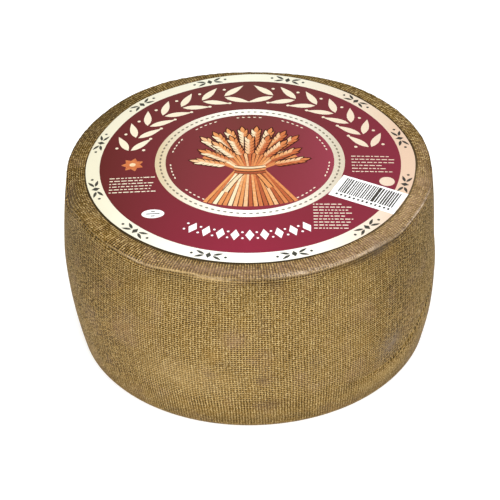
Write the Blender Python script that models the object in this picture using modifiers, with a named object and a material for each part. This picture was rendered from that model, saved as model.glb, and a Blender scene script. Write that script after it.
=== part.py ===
"""A whole pressed cheese wheel with a round paper label lying on its top.

The wheel is a turned barrel with a flat base, a slightly domed crown and a soft lip where the
crown meets the side. Hand pressing leaves it uneven: it is a little oval, it leans, its lip
dips in places with a bead and a crease along it, and folds of rind run above its foot.
Units are metres, +Z is up, and the origin is the middle of the flat base.
"""

import math

import bmesh
import bpy
from mathutils import Vector, noise

# The barrel
BELLY_RADIUS = 0.0990
BELLY_HEIGHT = 0.0530
LIP_RADIUS = 0.0957
LIP_HEIGHT = 0.0980
FOOT_RADIUS = 0.0930
FOOT_ROUNDING = 0.0030

# The domed crown and the shoulder between the label and the lip
CROWN_HEIGHT = 0.1022
CROWN_DROP_AT_LABEL = 0.0022
SHOULDER_START = 0.0875
SHOULDER_FULLNESS = 0.9

# The paper label
LABEL_RADIUS = 0.0864
LABEL_GAP = 0.0003
LABEL_THICKNESS = 0.0003
LABEL_BAND_RADIUS = 0.0785
LABEL_RING_OUTER = 0.0498
LABEL_RING_INNER = 0.0442
LABEL_OFFSET = Vector((0.0007, 0.0013, 0.0))

# Unevenness of the whole wheel
OVALITY = -0.006
LEAN_AT_FOOT = 0.0015
LEAN_AT_BELLY = -0.0003
LEAN_AT_LIP = 0.0003
LUMP_SIZE = 0.045
LUMP_HEIGHT = 0.0005
CROWN_LUMP_HEIGHT = 0.0002

# Dips of the lip: azimuth in degrees (0 in front, positive to the right), depth, half width in degrees
LIP_DIPS = (
    (-80.0, 0.0085, 9.0),
    (-31.0, 0.0032, 9.0),
    (53.0, 0.0013, 6.0),
    (86.0, 0.0040, 9.0),
    (150.0, 0.0010, 25.0),
)
DIP_REACH = 0.025

# The bead along the lip and the crease under it
BEAD_HEIGHT = 0.0004
BEAD_WIDTH = 0.0010
BEAD_INSET = 0.0004
CREASE_DEPTH = 0.0007
CREASE_WIDTH = 0.0008
CREASE_DROP = 0.0014

# Folds of rind above the foot: start and end azimuth in degrees
FOLDS = ((26.0, 88.0), (160.0, 212.0), (-126.0, -92.0))
FOLD_FADE = 12.0
FOLD_HEIGHT = 0.0188
# Rises of the folds: azimuth, height and half width in degrees
FOLD_RISES = ((80.0, 0.0200, 17.0), (208.0, 0.0070, 18.0), (-96.0, 0.0050, 12.0))
RISE_REACH = 0.032
FOLD_DEPTH = 0.0007
FOLD_WIDTH = 0.0012
BAND_SWELL = 0.0006
BAND_CENTRE = 0.0110
BAND_WIDTH = 0.0055

# How finely the outline is turned and divided
STEPS = 96
CROWN_ROWS = 7
SHOULDER_ROWS = 6
CREASE_ROWS = 4
UPPER_ROWS = 10
FOLD_ROWS = 6
LOWER_ROWS = 3
FOOT_ROWS = 4
MERGE_DISTANCE = 0.00001
SMOOTH_ANGLE = math.radians(40.0)

RIND_COLOUR = "#A5874E"
CREAM_COLOUR = "#F4E6C8"
BURGUNDY_COLOUR = "#8B2B3E"

Profile = list[tuple[float, float]]
Shifts = tuple[tuple[float, float, float], ...]


def smooth_step(low: float, high: float, value: float) -> float:
    """Rise smoothly from 0 at low to 1 at high."""
    share = min(1.0, max(0.0, (value - low) / (high - low)))
    return share * share * (3.0 - 2.0 * share)


def bell(offset: float, width: float) -> float:
    """Return a bell curve: 1 at offset 0, falling off over the width."""
    return math.exp(-((offset / width) ** 2))


def turn_between(azimuth: float, centre: float) -> float:
    """Return the signed angle in degrees from the centre to the azimuth."""
    return (azimuth - centre + 180.0) % 360.0 - 180.0


def crown_height(radius: float) -> float:
    """Return the height of the even dome at a distance from the axis."""
    return CROWN_HEIGHT - CROWN_DROP_AT_LABEL * (radius / LABEL_RADIUS) ** 2


def crown_lump(x: float, y: float) -> float:
    """Return the gentle rise or fall of the crown, and of the label on it, at a place."""
    return CROWN_LUMP_HEIGHT * noise.noise(Vector((x, y, 0.0)) / LUMP_SIZE)


def side_radius(height: float) -> float:
    """Return the barrel's radius at a height between the floor and the lip."""
    if height > BELLY_HEIGHT:
        share = (height - BELLY_HEIGHT) / (LIP_HEIGHT - BELLY_HEIGHT)
        return BELLY_RADIUS - (BELLY_RADIUS - LIP_RADIUS) * share**2
    share = 1.0 - height / BELLY_HEIGHT
    return BELLY_RADIUS - (BELLY_RADIUS - FOOT_RADIUS) * share**2


def shoulder_point(share: float) -> tuple[float, float]:
    """Return a point of the rounded shoulder, from its start (0) to the lip (1)."""
    turn, start = share * math.pi / 2, crown_height(SHOULDER_START)
    radius = SHOULDER_START + (LIP_RADIUS - SHOULDER_START) * math.sin(turn) ** SHOULDER_FULLNESS
    return radius, start - (start - LIP_HEIGHT) * (1.0 - math.cos(turn))


def spread(start: float, end: float, rows: int) -> list[float]:
    """Return evenly spread values that follow the start, the last of them at the end."""
    return [start + (end - start) * (k + 1) / rows for k in range(rows)]


def wheel_profile() -> Profile:
    """Return the wheel's outline from the crown's middle, down its side, to the base's middle."""
    crown = [(r, crown_height(r)) for r in [0.0] + spread(0.0, SHOULDER_START, CROWN_ROWS)]
    shoulder = [shoulder_point(share) for share in spread(0.0, 1.0, SHOULDER_ROWS)]
    under_crease = LIP_HEIGHT - 2.0 * CREASE_DROP
    over_fold = FOLD_HEIGHT + 4.0 * FOLD_WIDTH
    under_fold = FOLD_HEIGHT - 2.0 * FOLD_WIDTH
    heights = spread(LIP_HEIGHT, under_crease, CREASE_ROWS)
    heights += spread(under_crease, over_fold, UPPER_ROWS)
    heights += spread(over_fold, under_fold, FOLD_ROWS)
    heights += spread(under_fold, 2.0 * FOOT_ROUNDING, LOWER_ROWS)
    side = [(side_radius(z), z) for z in heights]
    foot_centre = side_radius(FOOT_ROUNDING) - FOOT_ROUNDING
    foot = [
        (foot_centre + FOOT_ROUNDING * math.cos(turn), FOOT_ROUNDING * (1.0 - math.sin(turn)))
        for turn in [0.0] + spread(0.0, math.pi / 2, FOOT_ROWS)
    ]
    base = [(FOOT_RADIUS / 2, 0.0), (0.0, 0.0)]
    return crown + shoulder + side + foot + base


def label_profile() -> Profile:
    """Return the label's outline: out along its upper face, and back along its lower face."""
    radii = [
        0.0,
        LABEL_RING_INNER / 2,
        LABEL_RING_INNER,
        LABEL_RING_OUTER,
        (LABEL_RING_OUTER + LABEL_BAND_RADIUS) / 2,
        LABEL_BAND_RADIUS,
        LABEL_RADIUS,
    ]
    lower = [(r, crown_height(r) + LABEL_GAP) for r in radii]
    upper = [(r, z + LABEL_THICKNESS) for r, z in lower]
    return upper + lower[::-1]


def turn_profile(name: str, profile: Profile) -> bpy.types.Object:
    """Turn an outline about the Z axis and return it as a plain closed mesh object."""
    outline = bpy.data.meshes.new(f"{name}_outline")
    points = [(radius, 0.0, height) for radius, height in profile]
    outline.from_pydata(points, [(k, k + 1) for k in range(len(points) - 1)], [])
    turned = bpy.data.objects.new(f"{name}_turned", outline)
    bpy.context.scene.collection.objects.link(turned)
    screw = turned.modifiers.new("turn", "SCREW")
    screw.axis = "Z"
    screw.steps = STEPS
    screw.render_steps = STEPS
    screw.use_merge_vertices = True
    screw.merge_threshold = MERGE_DISTANCE
    bpy.context.view_layer.update()
    evaluated = turned.evaluated_get(bpy.context.evaluated_depsgraph_get())
    mesh = bpy.data.meshes.new_from_object(evaluated)
    bpy.data.objects.remove(turned)
    shape = bmesh.new()
    shape.from_mesh(mesh)
    bmesh.ops.remove_doubles(shape, verts=shape.verts, dist=MERGE_DISTANCE)
    shape.to_mesh(mesh)
    shape.free()
    return bpy.data.objects.new(name, mesh)


def shift_at(azimuth: float, shifts: Shifts) -> float:
    """Add up bell-shaped shifts, each an azimuth, a distance and a half width, at an azimuth."""
    return sum(distance * bell(turn_between(azimuth, at), width) for at, distance, width in shifts)


def lean(height: float) -> float:
    """Return how far the wheel's middle is pushed to the right at a height."""
    if height > BELLY_HEIGHT:
        share = (height - BELLY_HEIGHT) / (LIP_HEIGHT - BELLY_HEIGHT)
        return LEAN_AT_BELLY + (LEAN_AT_LIP - LEAN_AT_BELLY) * share
    return LEAN_AT_FOOT + (LEAN_AT_BELLY - LEAN_AT_FOOT) * height / BELLY_HEIGHT


def fold_strength(azimuth: float) -> float:
    """Return how deep the folds above the foot are at an azimuth, from 0 to 1."""
    strength = 0.0
    for start, end in FOLDS:
        middle, reach = (start + end) / 2, (end - start) / 2
        offset = abs(turn_between(azimuth, middle))
        strength = max(strength, 1.0 - smooth_step(reach - FOLD_FADE, reach, offset))
    return strength


def lip_relief(radius: float, height: float) -> float:
    """Return the bead (up) and the crease (down) along the lip, by distance from it."""
    below = LIP_HEIGHT - height if height < LIP_HEIGHT else radius - LIP_RADIUS
    bead = BEAD_HEIGHT * bell(below + BEAD_INSET, BEAD_WIDTH)
    crease = CREASE_DEPTH * bell(below - CREASE_DROP, CREASE_WIDTH)
    return bead - crease


def fold_relief(azimuth: float, height: float) -> float:
    """Return the groove of a fold above the foot, and the swollen band under it."""
    groove = FOLD_DEPTH * bell(height - FOLD_HEIGHT, FOLD_WIDTH)
    swell = BAND_SWELL * bell(height - BAND_CENTRE, BAND_WIDTH)
    return fold_strength(azimuth) * (swell - groove)


def shifted_height(azimuth: float, radius: float, height: float) -> float:
    """Return a height after the lip's dips and the folds' rises have moved it."""
    dip, rise = shift_at(azimuth, LIP_DIPS), shift_at(azimuth, FOLD_RISES)
    if height >= LIP_HEIGHT:
        return height - dip * max(0.0, (radius - SHOULDER_START) / (LIP_RADIUS - SHOULDER_START)) ** 2
    if height > FOLD_HEIGHT:
        rise *= bell(height - FOLD_HEIGHT, RISE_REACH)
    else:
        rise *= smooth_step(FOOT_ROUNDING, FOLD_HEIGHT, height)
    above_foot = smooth_step(FOOT_ROUNDING, LIP_HEIGHT / 2, height)
    return height + rise - dip * above_foot * bell(LIP_HEIGHT - height, DIP_REACH)


def uneven_place(place: Vector, normal: Vector) -> Vector:
    """Return where the uneven wheel has a point that the even barrel has at a place."""
    x, y, height = place
    radius = math.hypot(x, y)
    azimuth = math.degrees(math.atan2(x, -y))
    new_height = shifted_height(azimuth, radius, height)
    stretch = 1.0 + OVALITY * math.sin(math.radians(2.0 * azimuth))
    if FOOT_ROUNDING < height < LIP_HEIGHT:
        stretch *= 1.0 + (side_radius(new_height) - side_radius(height)) / radius
    middle = lean(height) * min(1.0, radius / FOOT_RADIUS)
    towards_lip = smooth_step(SHOULDER_START, LIP_RADIUS, radius)
    relief = lip_relief(radius, height) + fold_relief(azimuth, height)
    relief += LUMP_HEIGHT * noise.noise(place / LUMP_SIZE) * towards_lip
    relief *= smooth_step(0.0, 2.0 * FOOT_ROUNDING, height)
    lift = crown_lump(x, y) * (1.0 - towards_lip) if height >= LIP_HEIGHT else 0.0
    return Vector((x * stretch + middle, y * stretch, new_height + lift)) + normal * relief


def make_uneven(wheel: bpy.types.Object) -> None:
    """Give the turned barrel its dips, folds, lumps, oval and lean."""
    wheel.data.update()
    places = [uneven_place(vertex.co, vertex.normal) for vertex in wheel.data.vertices]
    for vertex, place in zip(wheel.data.vertices, places):
        vertex.co = place


def settle_on_crown(label: bpy.types.Object) -> None:
    """Lay the label a little off the wheel's middle, and let it follow the crown and its lumps."""
    for vertex in label.data.vertices:
        above = vertex.co.z - crown_height(vertex.co.to_2d().length)
        x, y, _ = vertex.co + LABEL_OFFSET
        vertex.co = (x, y, crown_height(math.hypot(x, y)) + crown_lump(x, y) + above)


def linear_colour(colour: str) -> tuple[float, float, float, float]:
    """Return an sRGB hex colour as linear RGBA."""
    channels = [int(colour[k : k + 2], 16) / 255.0 for k in (1, 3, 5)]
    linear = [c / 12.92 if c <= 0.04045 else ((c + 0.055) / 1.055) ** 2.4 for c in channels]
    return (*linear, 1.0)


def make_material(name: str, colour: str, roughness: float) -> bpy.types.Material:
    """Return a Principled material of one colour."""
    material = bpy.data.materials.new(name)
    material.use_nodes = True
    shader = material.node_tree.nodes["Principled BSDF"]
    shader.inputs["Base Color"].default_value = linear_colour(colour)
    shader.inputs["Roughness"].default_value = roughness
    shader.inputs["Metallic"].default_value = 0.0
    return material


def paint_label(label: bpy.types.Object) -> None:
    """Give the label its burgundy field with a cream band and a cream ring."""
    label.data.materials.append(make_material("label_burgundy", BURGUNDY_COLOUR, 0.45))
    label.data.materials.append(make_material("label_cream", CREAM_COLOUR, 0.45))
    for face in label.data.polygons:
        radius = face.center.to_2d().length
        cream = radius > LABEL_BAND_RADIUS or LABEL_RING_INNER < radius < LABEL_RING_OUTER
        face.material_index = 1 if cream else 0


def make_wheel() -> bpy.types.Object:
    """Return the cheese wheel, one solid with its rind."""
    wheel = turn_profile("cheese_wheel", wheel_profile())
    make_uneven(wheel)
    wheel.data.materials.append(make_material("rind", RIND_COLOUR, 0.7))
    return wheel


def make_label() -> bpy.types.Object:
    """Return the round paper label."""
    label = turn_profile("paper_label", label_profile())
    paint_label(label)
    settle_on_crown(label)
    return label


def main() -> None:
    """Build the wheel and its label in a collection of their own."""
    for leftover in list(bpy.data.objects):
        bpy.data.objects.remove(leftover)
    collection = bpy.data.collections.new("labelled_cheese_wheel")
    bpy.context.scene.collection.children.link(collection)
    for part in (make_wheel(), make_label()):
        part.data.shade_smooth()
        part.data.set_sharp_from_angle(angle=SMOOTH_ANGLE)
        collection.objects.link(part)


main()
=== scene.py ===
"""The looks of a whole pressed cheese wheel with a round printed paper label on its top.

The rind keeps the print of the cloth it was pressed in: columns of small holes between threads.
Units are metres, +Z is up, and the origin is the middle of the wheel's flat base. An azimuth is in
degrees, 0 in front (-Y) and positive to the right (+X).
"""

import logging
import math
from collections.abc import Callable
from dataclasses import dataclass, field
from enum import Enum
from functools import partial
from typing import Any

import bmesh
import bpy
import numpy as np
from mathutils import Matrix, Vector, noise


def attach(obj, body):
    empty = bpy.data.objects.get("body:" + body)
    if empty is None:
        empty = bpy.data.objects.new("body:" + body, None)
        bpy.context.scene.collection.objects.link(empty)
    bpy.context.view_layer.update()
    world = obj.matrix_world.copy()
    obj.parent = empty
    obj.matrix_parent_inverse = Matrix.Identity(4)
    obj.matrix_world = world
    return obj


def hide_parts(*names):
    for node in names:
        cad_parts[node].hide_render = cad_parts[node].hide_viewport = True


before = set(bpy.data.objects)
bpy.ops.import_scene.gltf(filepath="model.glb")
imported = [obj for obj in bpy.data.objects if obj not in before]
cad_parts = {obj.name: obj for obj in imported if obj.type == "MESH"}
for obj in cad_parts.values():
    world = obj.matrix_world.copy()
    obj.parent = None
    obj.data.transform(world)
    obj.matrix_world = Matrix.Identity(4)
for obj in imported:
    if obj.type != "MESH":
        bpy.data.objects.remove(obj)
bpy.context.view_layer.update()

LOG = logging.getLogger("cheese_wheel")
MM = 0.001
TURN = 2.0 * math.pi
BODY = "root"
TINY = 1e-9
LEAF_STEPS = 6
LEAF_BELLY = 0.8

# Rind and ink both reflect less at their surface than plain plastic, whose value is 0.5
SPECULAR = 0.15

# Kinds of node that the trees use more than once
ATTRIBUTE = "ShaderNodeAttribute"
COMBINE = "ShaderNodeCombineXYZ"
MATH = "ShaderNodeMath"
MERGE = "GeometryNodeMergeByDistance"
MIX = "ShaderNodeMix"
NOISE = "ShaderNodeTexNoise"
REALIZE = "GeometryNodeRealizeInstances"
SEPARATE = "ShaderNodeSeparateXYZ"
SET_MATERIAL = "GeometryNodeSetMaterial"
SET_POSITION = "GeometryNodeSetPosition"
STORE = "GeometryNodeStoreNamedAttribute"
VECTOR = "ShaderNodeVectorMath"
WHITE_NOISE = "ShaderNodeTexWhiteNoise"

# The numbers of a mix node's two colour inputs and of its colour output
MIX_FROM = 6
MIX_TO = 7
MIX_RESULT = 2

Adder = Callable[..., bpy.types.Node]
Array = np.ndarray
Polygon = list[tuple[float, float]]
Source = bpy.types.Node | bpy.types.NodeSocket


# ---------------------------------------------------------------------------------------------
# Rules shared by the pieces
# ---------------------------------------------------------------------------------------------


def linear(colour: str) -> tuple[float, float, float, float]:
    """Turn an sRGB hex colour to linear RGBA.

    Args:
        colour: The colour as "#RRGGBB".

    Returns:
        Its red, green, blue and alpha.
    """
    channels = [int(colour[k : k + 2], 16) / 255.0 for k in (1, 3, 5)]
    red, green, blue = (c / 12.92 if c <= 0.04045 else ((c + 0.055) / 1.055) ** 2.4 for c in channels)
    return red, green, blue, 1.0


def feed(node: bpy.types.Node, values: dict[Any, Any]) -> None:
    """Set or link a node's inputs.

    Args:
        node: The node.
        values: For an input's name or number, a constant, the output that feeds it, or the node whose
            first output feeds it.
    """
    for key, value in values.items():
        source = value.outputs[0] if isinstance(value, bpy.types.Node) else value
        if isinstance(source, bpy.types.NodeSocket):
            node.id_data.links.new(source, node.inputs[key])
        else:
            node.inputs[key].default_value = source


def add_node(
    tree: bpy.types.NodeTree, kind: str, values: dict[Any, Any] | None = None, **settings: Any
) -> bpy.types.Node:
    """Add a node with its settings, and set or link its inputs.

    Args:
        tree: The tree that gets the node.
        kind: The node's type.
        values: What each input gets, as in feed.
        settings: The node's own settings.

    Returns:
        The new node.
    """
    node = tree.nodes.new(kind)
    for name, setting in settings.items():
        setattr(node, name, setting)
    feed(node, values or {})
    return node


def set_stops(ramp: bpy.types.Node, stops: tuple[tuple[float, str], ...]) -> None:
    """Set a colour ramp's stops.

    Args:
        ramp: The ramp's node.
        stops: Each stop's position and sRGB hex colour, in order.
    """
    elements = ramp.color_ramp.elements
    elements[0].position, elements[1].position = stops[0][0], stops[-1][0]
    for position, _ in stops[1:-1]:
        elements.new(position)
    for element, (_, colour) in zip(elements, stops):
        element.color = linear(colour)


def new_material(name: str) -> tuple[bpy.types.Material, bpy.types.Node, Adder]:
    """Start a material.

    Args:
        name: The material's name.

    Returns:
        The material, its shader, and what adds nodes to its tree.
    """
    material = bpy.data.materials.new(name)
    material.use_nodes = True
    tree = material.node_tree
    return material, tree.nodes["Principled BSDF"], partial(add_node, tree)


def smooth_step(low: float, high: float, value: Array) -> Array:
    """Rise smoothly from 0 at low to 1 at high."""
    share = np.clip((value - low) / (high - low), 0.0, 1.0)
    return share * share * (3.0 - 2.0 * share)


def bell(offset: Array, width: float) -> Array:
    """Return a bell curve: 1 at offset 0, falling off over the width."""
    return np.exp(-((offset / width) ** 2))


def turn_between(azimuth: Array, centre: float) -> Array:
    """Return the signed angle in degrees from the centre to each azimuth."""
    return (azimuth - centre + 180.0) % 360.0 - 180.0


def uneven(places: Array, size: float, seed: float) -> Array:
    """Return smooth noise, about -1 to 1, at each place.

    Args:
        places: One row of x, y and z for each place.
        size: How far apart its lumps are.
        seed: A shift that gives a field of its own.

    Returns:
        One value for each place.
    """
    shift = Vector((seed, -seed, 2.0 * seed))
    return np.array([noise.noise(Vector(place) / size + shift) for place in places])


def finished(name: str, mesh: bpy.types.Mesh, slot: str, *nodes: str) -> bpy.types.Object:
    """Make a mesh a piece that rides with the wheel.

    Args:
        name: The piece's name.
        mesh: Its final mesh.
        slot: The material slot's name; not used.
        nodes: The CAD nodes that it stands for.

    Returns:
        The piece.
    """
    piece = bpy.data.objects.new(name, mesh)
    bpy.context.scene.collection.objects.link(piece)
    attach(piece, BODY)
    if nodes:
        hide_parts(*nodes)
    return piece


def grown(
    name: str, mesh: bpy.types.Mesh, tree: bpy.types.NodeTree, inputs: dict[str, Any]
) -> bpy.types.Mesh:
    """Run a mesh through a Geometry Nodes tree and return the result as a plain mesh.

    Args:
        name: The result's name.
        mesh: What the tree starts from.
        tree: The tree.
        inputs: The tree's inputs by name.

    Returns:
        The plain mesh, with no modifier left.
    """
    blank = bpy.data.objects.new(f"{name}_blank", mesh)
    bpy.context.scene.collection.objects.link(blank)
    modifier = blank.modifiers.new("grow", "NODES")
    modifier.node_group = tree
    for socket in tree.interface.items_tree:
        if socket.in_out == "INPUT" and socket.name in inputs:
            modifier[socket.identifier] = inputs[socket.name]
    evaluated = blank.evaluated_get(bpy.context.evaluated_depsgraph_get())
    result = bpy.data.meshes.new_from_object(evaluated)
    result.name = name
    blank.modifiers.clear()
    bpy.data.objects.remove(blank)
    return result


def new_tree(name: str, inputs: dict[str, str]) -> tuple[bpy.types.NodeTree, Adder, Any]:
    """Start a Geometry Nodes tree.

    Args:
        name: The tree's name.
        inputs: The kind of value of each named input.

    Returns:
        The tree, what adds nodes to it, and its inputs' sockets by name.
    """
    tree = bpy.data.node_groups.new(name, "GeometryNodeTree")
    tree.is_modifier = True
    for label, kind in {"Geometry": "Geometry", **inputs}.items():
        tree.interface.new_socket(label, in_out="INPUT", socket_type=f"NodeSocket{kind}")
    tree.interface.new_socket("Geometry", in_out="OUTPUT", socket_type="NodeSocketGeometry")
    return tree, partial(add_node, tree), add_node(tree, "NodeGroupInput").outputs


# ---------------------------------------------------------------------------------------------
# The wheel
# ---------------------------------------------------------------------------------------------


@dataclass(frozen=True)
class Shift:
    """A bell-shaped shift of an edge: its azimuth, how far it goes and its half width in degrees."""

    azimuth: float
    distance: float
    width: float


def shifts_at(azimuth: Array, shifts: tuple[Shift, ...]) -> Array:
    """Add up an edge's shifts at each azimuth."""
    return sum(s.distance * bell(turn_between(azimuth, s.azimuth), s.width) for s in shifts)


LABEL_EDGE = (
    Shift(-113.0, -1.7 * MM, 20.0),
    Shift(-60.0, 0.3 * MM, 15.0),
    Shift(95.0, 0.5 * MM, 10.0),
    Shift(124.0, -0.8 * MM, 18.0),
    Shift(174.0, 1.4 * MM, 16.0),
    Shift(-152.0, -0.8 * MM, 12.0),
)


class MarkKind(Enum):
    """What a mark on the rind is, by the name of the attribute that carries it."""

    STAIN = "stain"
    GREY = "grey"
    # Partly pale spots, partly a painted highlight along the lip's bead
    PALE_AND_HIGHLIGHT = "pale"
    OCHRE = "ochre"
    PINK = "pink"
    # Painted shade: darker flanks, shoulders, creases and bands round the lip and foot, and a painted shadow
    # along the label's edge
    PAINTED_SHADE = "painted_shade"
    # Partly wear, partly painted light on the middle of the side and on the shoulders
    WORN_AND_PAINTED_LIGHT = "worn_and_painted_light"
    FAINT = "faint"
    DEEP = "deep"


@dataclass(frozen=True)
class Mark:
    """A soft-edged mark on the rind, placed by azimuth and by its way down from the lip."""

    kind: MarkKind
    azimuth: float
    down: float
    half_turn: float
    half_height: float
    strength: float


@dataclass(frozen=True)
class Scatter:
    """How a kind of mark is scattered all over the rind.

    The rarity goes from 0, where half of the rind has it, to 1, where none has.
    """

    kind: MarkKind
    size: float
    strength: float
    rarity: float
    seed: float


@dataclass(frozen=True)
class HolePattern:
    """How the holes between the threads lie.

    A cell with one hole spans some columns and one row. The hole's width, height and stray are shares
    of its cell, and its depth is between the least depth and 1.
    """

    columns: float
    width: float
    height: float
    stray: float
    least_depth: float


@dataclass(frozen=True)
class RindFinish:
    """Natural rind pressed in woven cloth and then rubbed with oil.

    The eye gets brown pinholes in rows between tan threads, broken by stains, by pale spots and wear, and by
    painted shade and painted highlights.
    The stops go from the holes over the hollows, the threads and the ridges to the pale flecks. The
    tints are laid over them in turn.
    """

    stops: tuple[tuple[float, str], ...] = (
        (0.0, "#180C00"),
        (0.28, "#4A350C"),
        (0.60, "#7C602B"),
        (0.80, "#9D8351"),
        (1.0, "#BDA673"),
    )
    # Over the pink, ochre and grey rind and its stains go a near-black brown that is painted shade, a light
    # tan for wear and painted light, and a pale tan for pale spots and a painted highlight
    tints: tuple[tuple[MarkKind, str], ...] = (
        (MarkKind.PINK, "#8C6F5D"),
        (MarkKind.OCHRE, "#8C6B31"),
        (MarkKind.GREY, "#6F6154"),
        (MarkKind.STAIN, "#3F2C1C"),
        (MarkKind.PAINTED_SHADE, "#33260F"),
        (MarkKind.WORN_AND_PAINTED_LIGHT, "#BFA371"),
        (MarkKind.PALE_AND_HIGHLIGHT, "#B8A48C"),
    )
    roughness: float = 0.75
    patch_size: float = 12.0 * MM
    blotch_size: float = 4.0 * MM
    grain_size: float = 0.5 * MM
    base_tone: float = 0.15
    patch_share: float = 0.12
    blotch_share: float = 0.05
    grain_share: float = 1.05
    nub_share: float = 0.60
    hole_share: float = 2.40
    cell_break: float = 0.5
    cell_fray: float = 0.6
    fray: tuple[float, float] = (2.4, -0.9)
    front_holes: HolePattern = HolePattern(1.0, 0.25, 0.22, 0.08, 0.70)
    flank_holes: HolePattern = HolePattern(1.5, 0.33, 0.26, 0.40, 0.30)
    wander_size: float = 3.2 * MM
    wander: tuple[float, float] = (0.10, 0.12)
    bump_height: float = 0.15 * MM
    bump_strength: float = 0.8
    bump_of_holes: float = -1.5

    def material(self) -> bpy.types.Material:
        """Build the rind's material.

        Returns:
            The material, which reads the thread count from the UV map and the marks from attributes.
        """
        material, shader, add = new_material("cloth_pressed_rind")
        place = add("ShaderNodeTexCoord").outputs["Object"]
        hole, nub, cell = self.imprint(add, place)
        patches, blotches, grain = (
            add(NOISE, {"Vector": place, "Scale": 1.0 / size, "Detail": detail})
            for size, detail in ((self.patch_size, 2.0), (self.blotch_size, 3.0), (self.grain_size, 0.0))
        )
        tone = self.base_tone
        for share, part in (
            (self.patch_share, patches),
            (self.blotch_share, blotches),
            (self.grain_share, grain),
            (self.nub_share, nub),
            (-self.hole_share, hole),
        ):
            tone = add(MATH, {0: part, 1: share, 2: tone}, operation="MULTIPLY_ADD")
        colour = add("ShaderNodeValToRGB", {0: tone})
        set_stops(colour, self.stops)
        relief = add(MATH, {0: hole, 1: self.bump_of_holes, 2: grain}, operation="MULTIPLY_ADD")
        bump = {"Height": relief, "Distance": self.bump_height, "Strength": self.bump_strength}
        feed(
            shader,
            {
                "Base Color": self.marked(add, colour, blotches, cell, grain),
                "Roughness": self.roughness,
                "Specular IOR Level": SPECULAR,
                "Normal": add("ShaderNodeBump", bump),
            },
        )
        return material

    def imprint(self, add: Adder, place: Source) -> tuple[Source, Source, Source]:
        """Add the cloth's imprint, worked out from the thread count in the UV map.

        Args:
            add: What adds nodes to the material's tree.
            place: Object coordinates.

        Returns:
            How deep a point is in a hole, the random height of the thread there, and a random number
            for each hole.
        """
        aside, pressed, frayed = (
            add(ATTRIBUTE, attribute_name=name).outputs["Fac"] for name in ("aside", "imprint", "fray")
        )
        threads = add("ShaderNodeUVMap", uv_map="threads")
        wander = add(NOISE, {"Vector": place, "Scale": 1.0 / self.wander_size, "Detail": 1.0})
        count = add(
            VECTOR,
            {0: wander.outputs["Color"], 1: (*self.wander, 0.0), 2: threads},
            operation="MULTIPLY_ADD",
        )
        front, cell = self.holes(add, count, self.front_holes)
        flank, _ = self.holes(add, count, self.flank_holes)
        shape = add(MIX, {0: aside, 2: front, 3: flank})
        hole = add(MATH, {0: shape, 1: pressed}, operation="MULTIPLY")
        beside = add(VECTOR, {0: count, 1: (0.5, 0.5, 0.0)}, operation="ADD")
        nub_place = add(VECTOR, {0: beside}, operation="FLOOR")
        height = add(WHITE_NOISE, {"Vector": nub_place}, noise_dimensions="2D")
        height = add(MATH, {0: height, 1: 0.5}, operation="SUBTRACT")
        beyond = add(MATH, {0: 1.0, 1: shape}, operation="SUBTRACT")
        beyond = add(MATH, {0: beyond, 1: frayed}, operation="MULTIPLY")
        nub = add(MATH, {0: height, 1: beyond}, operation="MULTIPLY")
        return hole, nub, cell

    def holes(self, add: Adder, count: Source, pattern: HolePattern) -> tuple[Source, Source]:
        """Add one pattern of holes.

        Args:
            add: What adds nodes to the material's tree.
            count: The thread count.
            pattern: How the holes lie.

        Returns:
            How deep a point is in a hole, and a random number for each hole.
        """
        cells = add(VECTOR, {0: count, 1: (1.0 / pattern.columns, 1.0, 1.0)}, operation="MULTIPLY")
        cell_place = add(VECTOR, {0: cells}, operation="FLOOR")
        chance = add(WHITE_NOISE, {"Vector": cell_place}, noise_dimensions="2D")
        inside = add(VECTOR, {0: cells}, operation="FRACTION")
        spread, start = (pattern.stray,) * 3, (0.5 - 0.5 * pattern.stray,) * 3
        middle = add(VECTOR, {0: chance.outputs["Color"], 1: spread, 2: start}, operation="MULTIPLY_ADD")
        offset = add(VECTOR, {0: inside, 1: middle}, operation="SUBTRACT")
        rib = add(ATTRIBUTE, attribute_name="rib").outputs["Fac"]
        scale = 1.0 / pattern.height
        squeeze = add(MATH, {0: rib, 1: -scale, 2: scale}, operation="MULTIPLY_ADD")
        scales = add(COMBINE, {0: 1.0 / pattern.width, 1: squeeze})
        scaled = add(VECTOR, {0: offset, 1: scales}, operation="MULTIPLY")
        square = add(VECTOR, {0: scaled, 1: scaled}, operation="DOT_PRODUCT").outputs["Value"]
        falloff = add(MATH, {0: square, 1: -1.0}, operation="MULTIPLY")
        shape = add(MATH, {0: falloff}, operation="EXPONENT")
        least = pattern.least_depth
        depth = add(MATH, {0: chance, 1: 1.0 - least, 2: least}, operation="MULTIPLY_ADD")
        return add(MATH, {0: shape, 1: depth}, operation="MULTIPLY"), chance

    def marked(self, add: Adder, colour: Source, blotches: Source, cell: Source, grain: Source) -> Source:
        """Lay each kind of mark over the rind's colour, broken up by its blotches and holes.

        Args:
            add: What adds nodes to the material's tree.
            colour: The rind's colour.
            blotches: Noise that breaks up the marks.
            cell: A random number for each hole.
            grain: Fine noise that frays the pale marks.

        Returns:
            The marked colour.
        """
        broken = add(MATH, {0: cell, 1: self.cell_break, 2: blotches}, operation="MULTIPLY_ADD")
        frayed = add(MATH, {0: grain, 1: self.fray[0], 2: self.fray[1]}, operation="MULTIPLY_ADD")
        frayed = add(MATH, {0: cell, 1: self.cell_fray, 2: frayed}, operation="MULTIPLY_ADD")
        for kind, tint in self.tints:
            strength = add(ATTRIBUTE, attribute_name=kind.value).outputs["Fac"]
            breaking = frayed if kind is MarkKind.PALE_AND_HIGHLIGHT else broken
            share = add(MATH, {0: strength, 1: breaking}, operation="MULTIPLY", use_clamp=True)
            mix = add(MIX, {0: share, MIX_FROM: colour, MIX_TO: linear(tint)}, data_type="RGBA")
            colour = mix.outputs[MIX_RESULT]
        return colour


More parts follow.
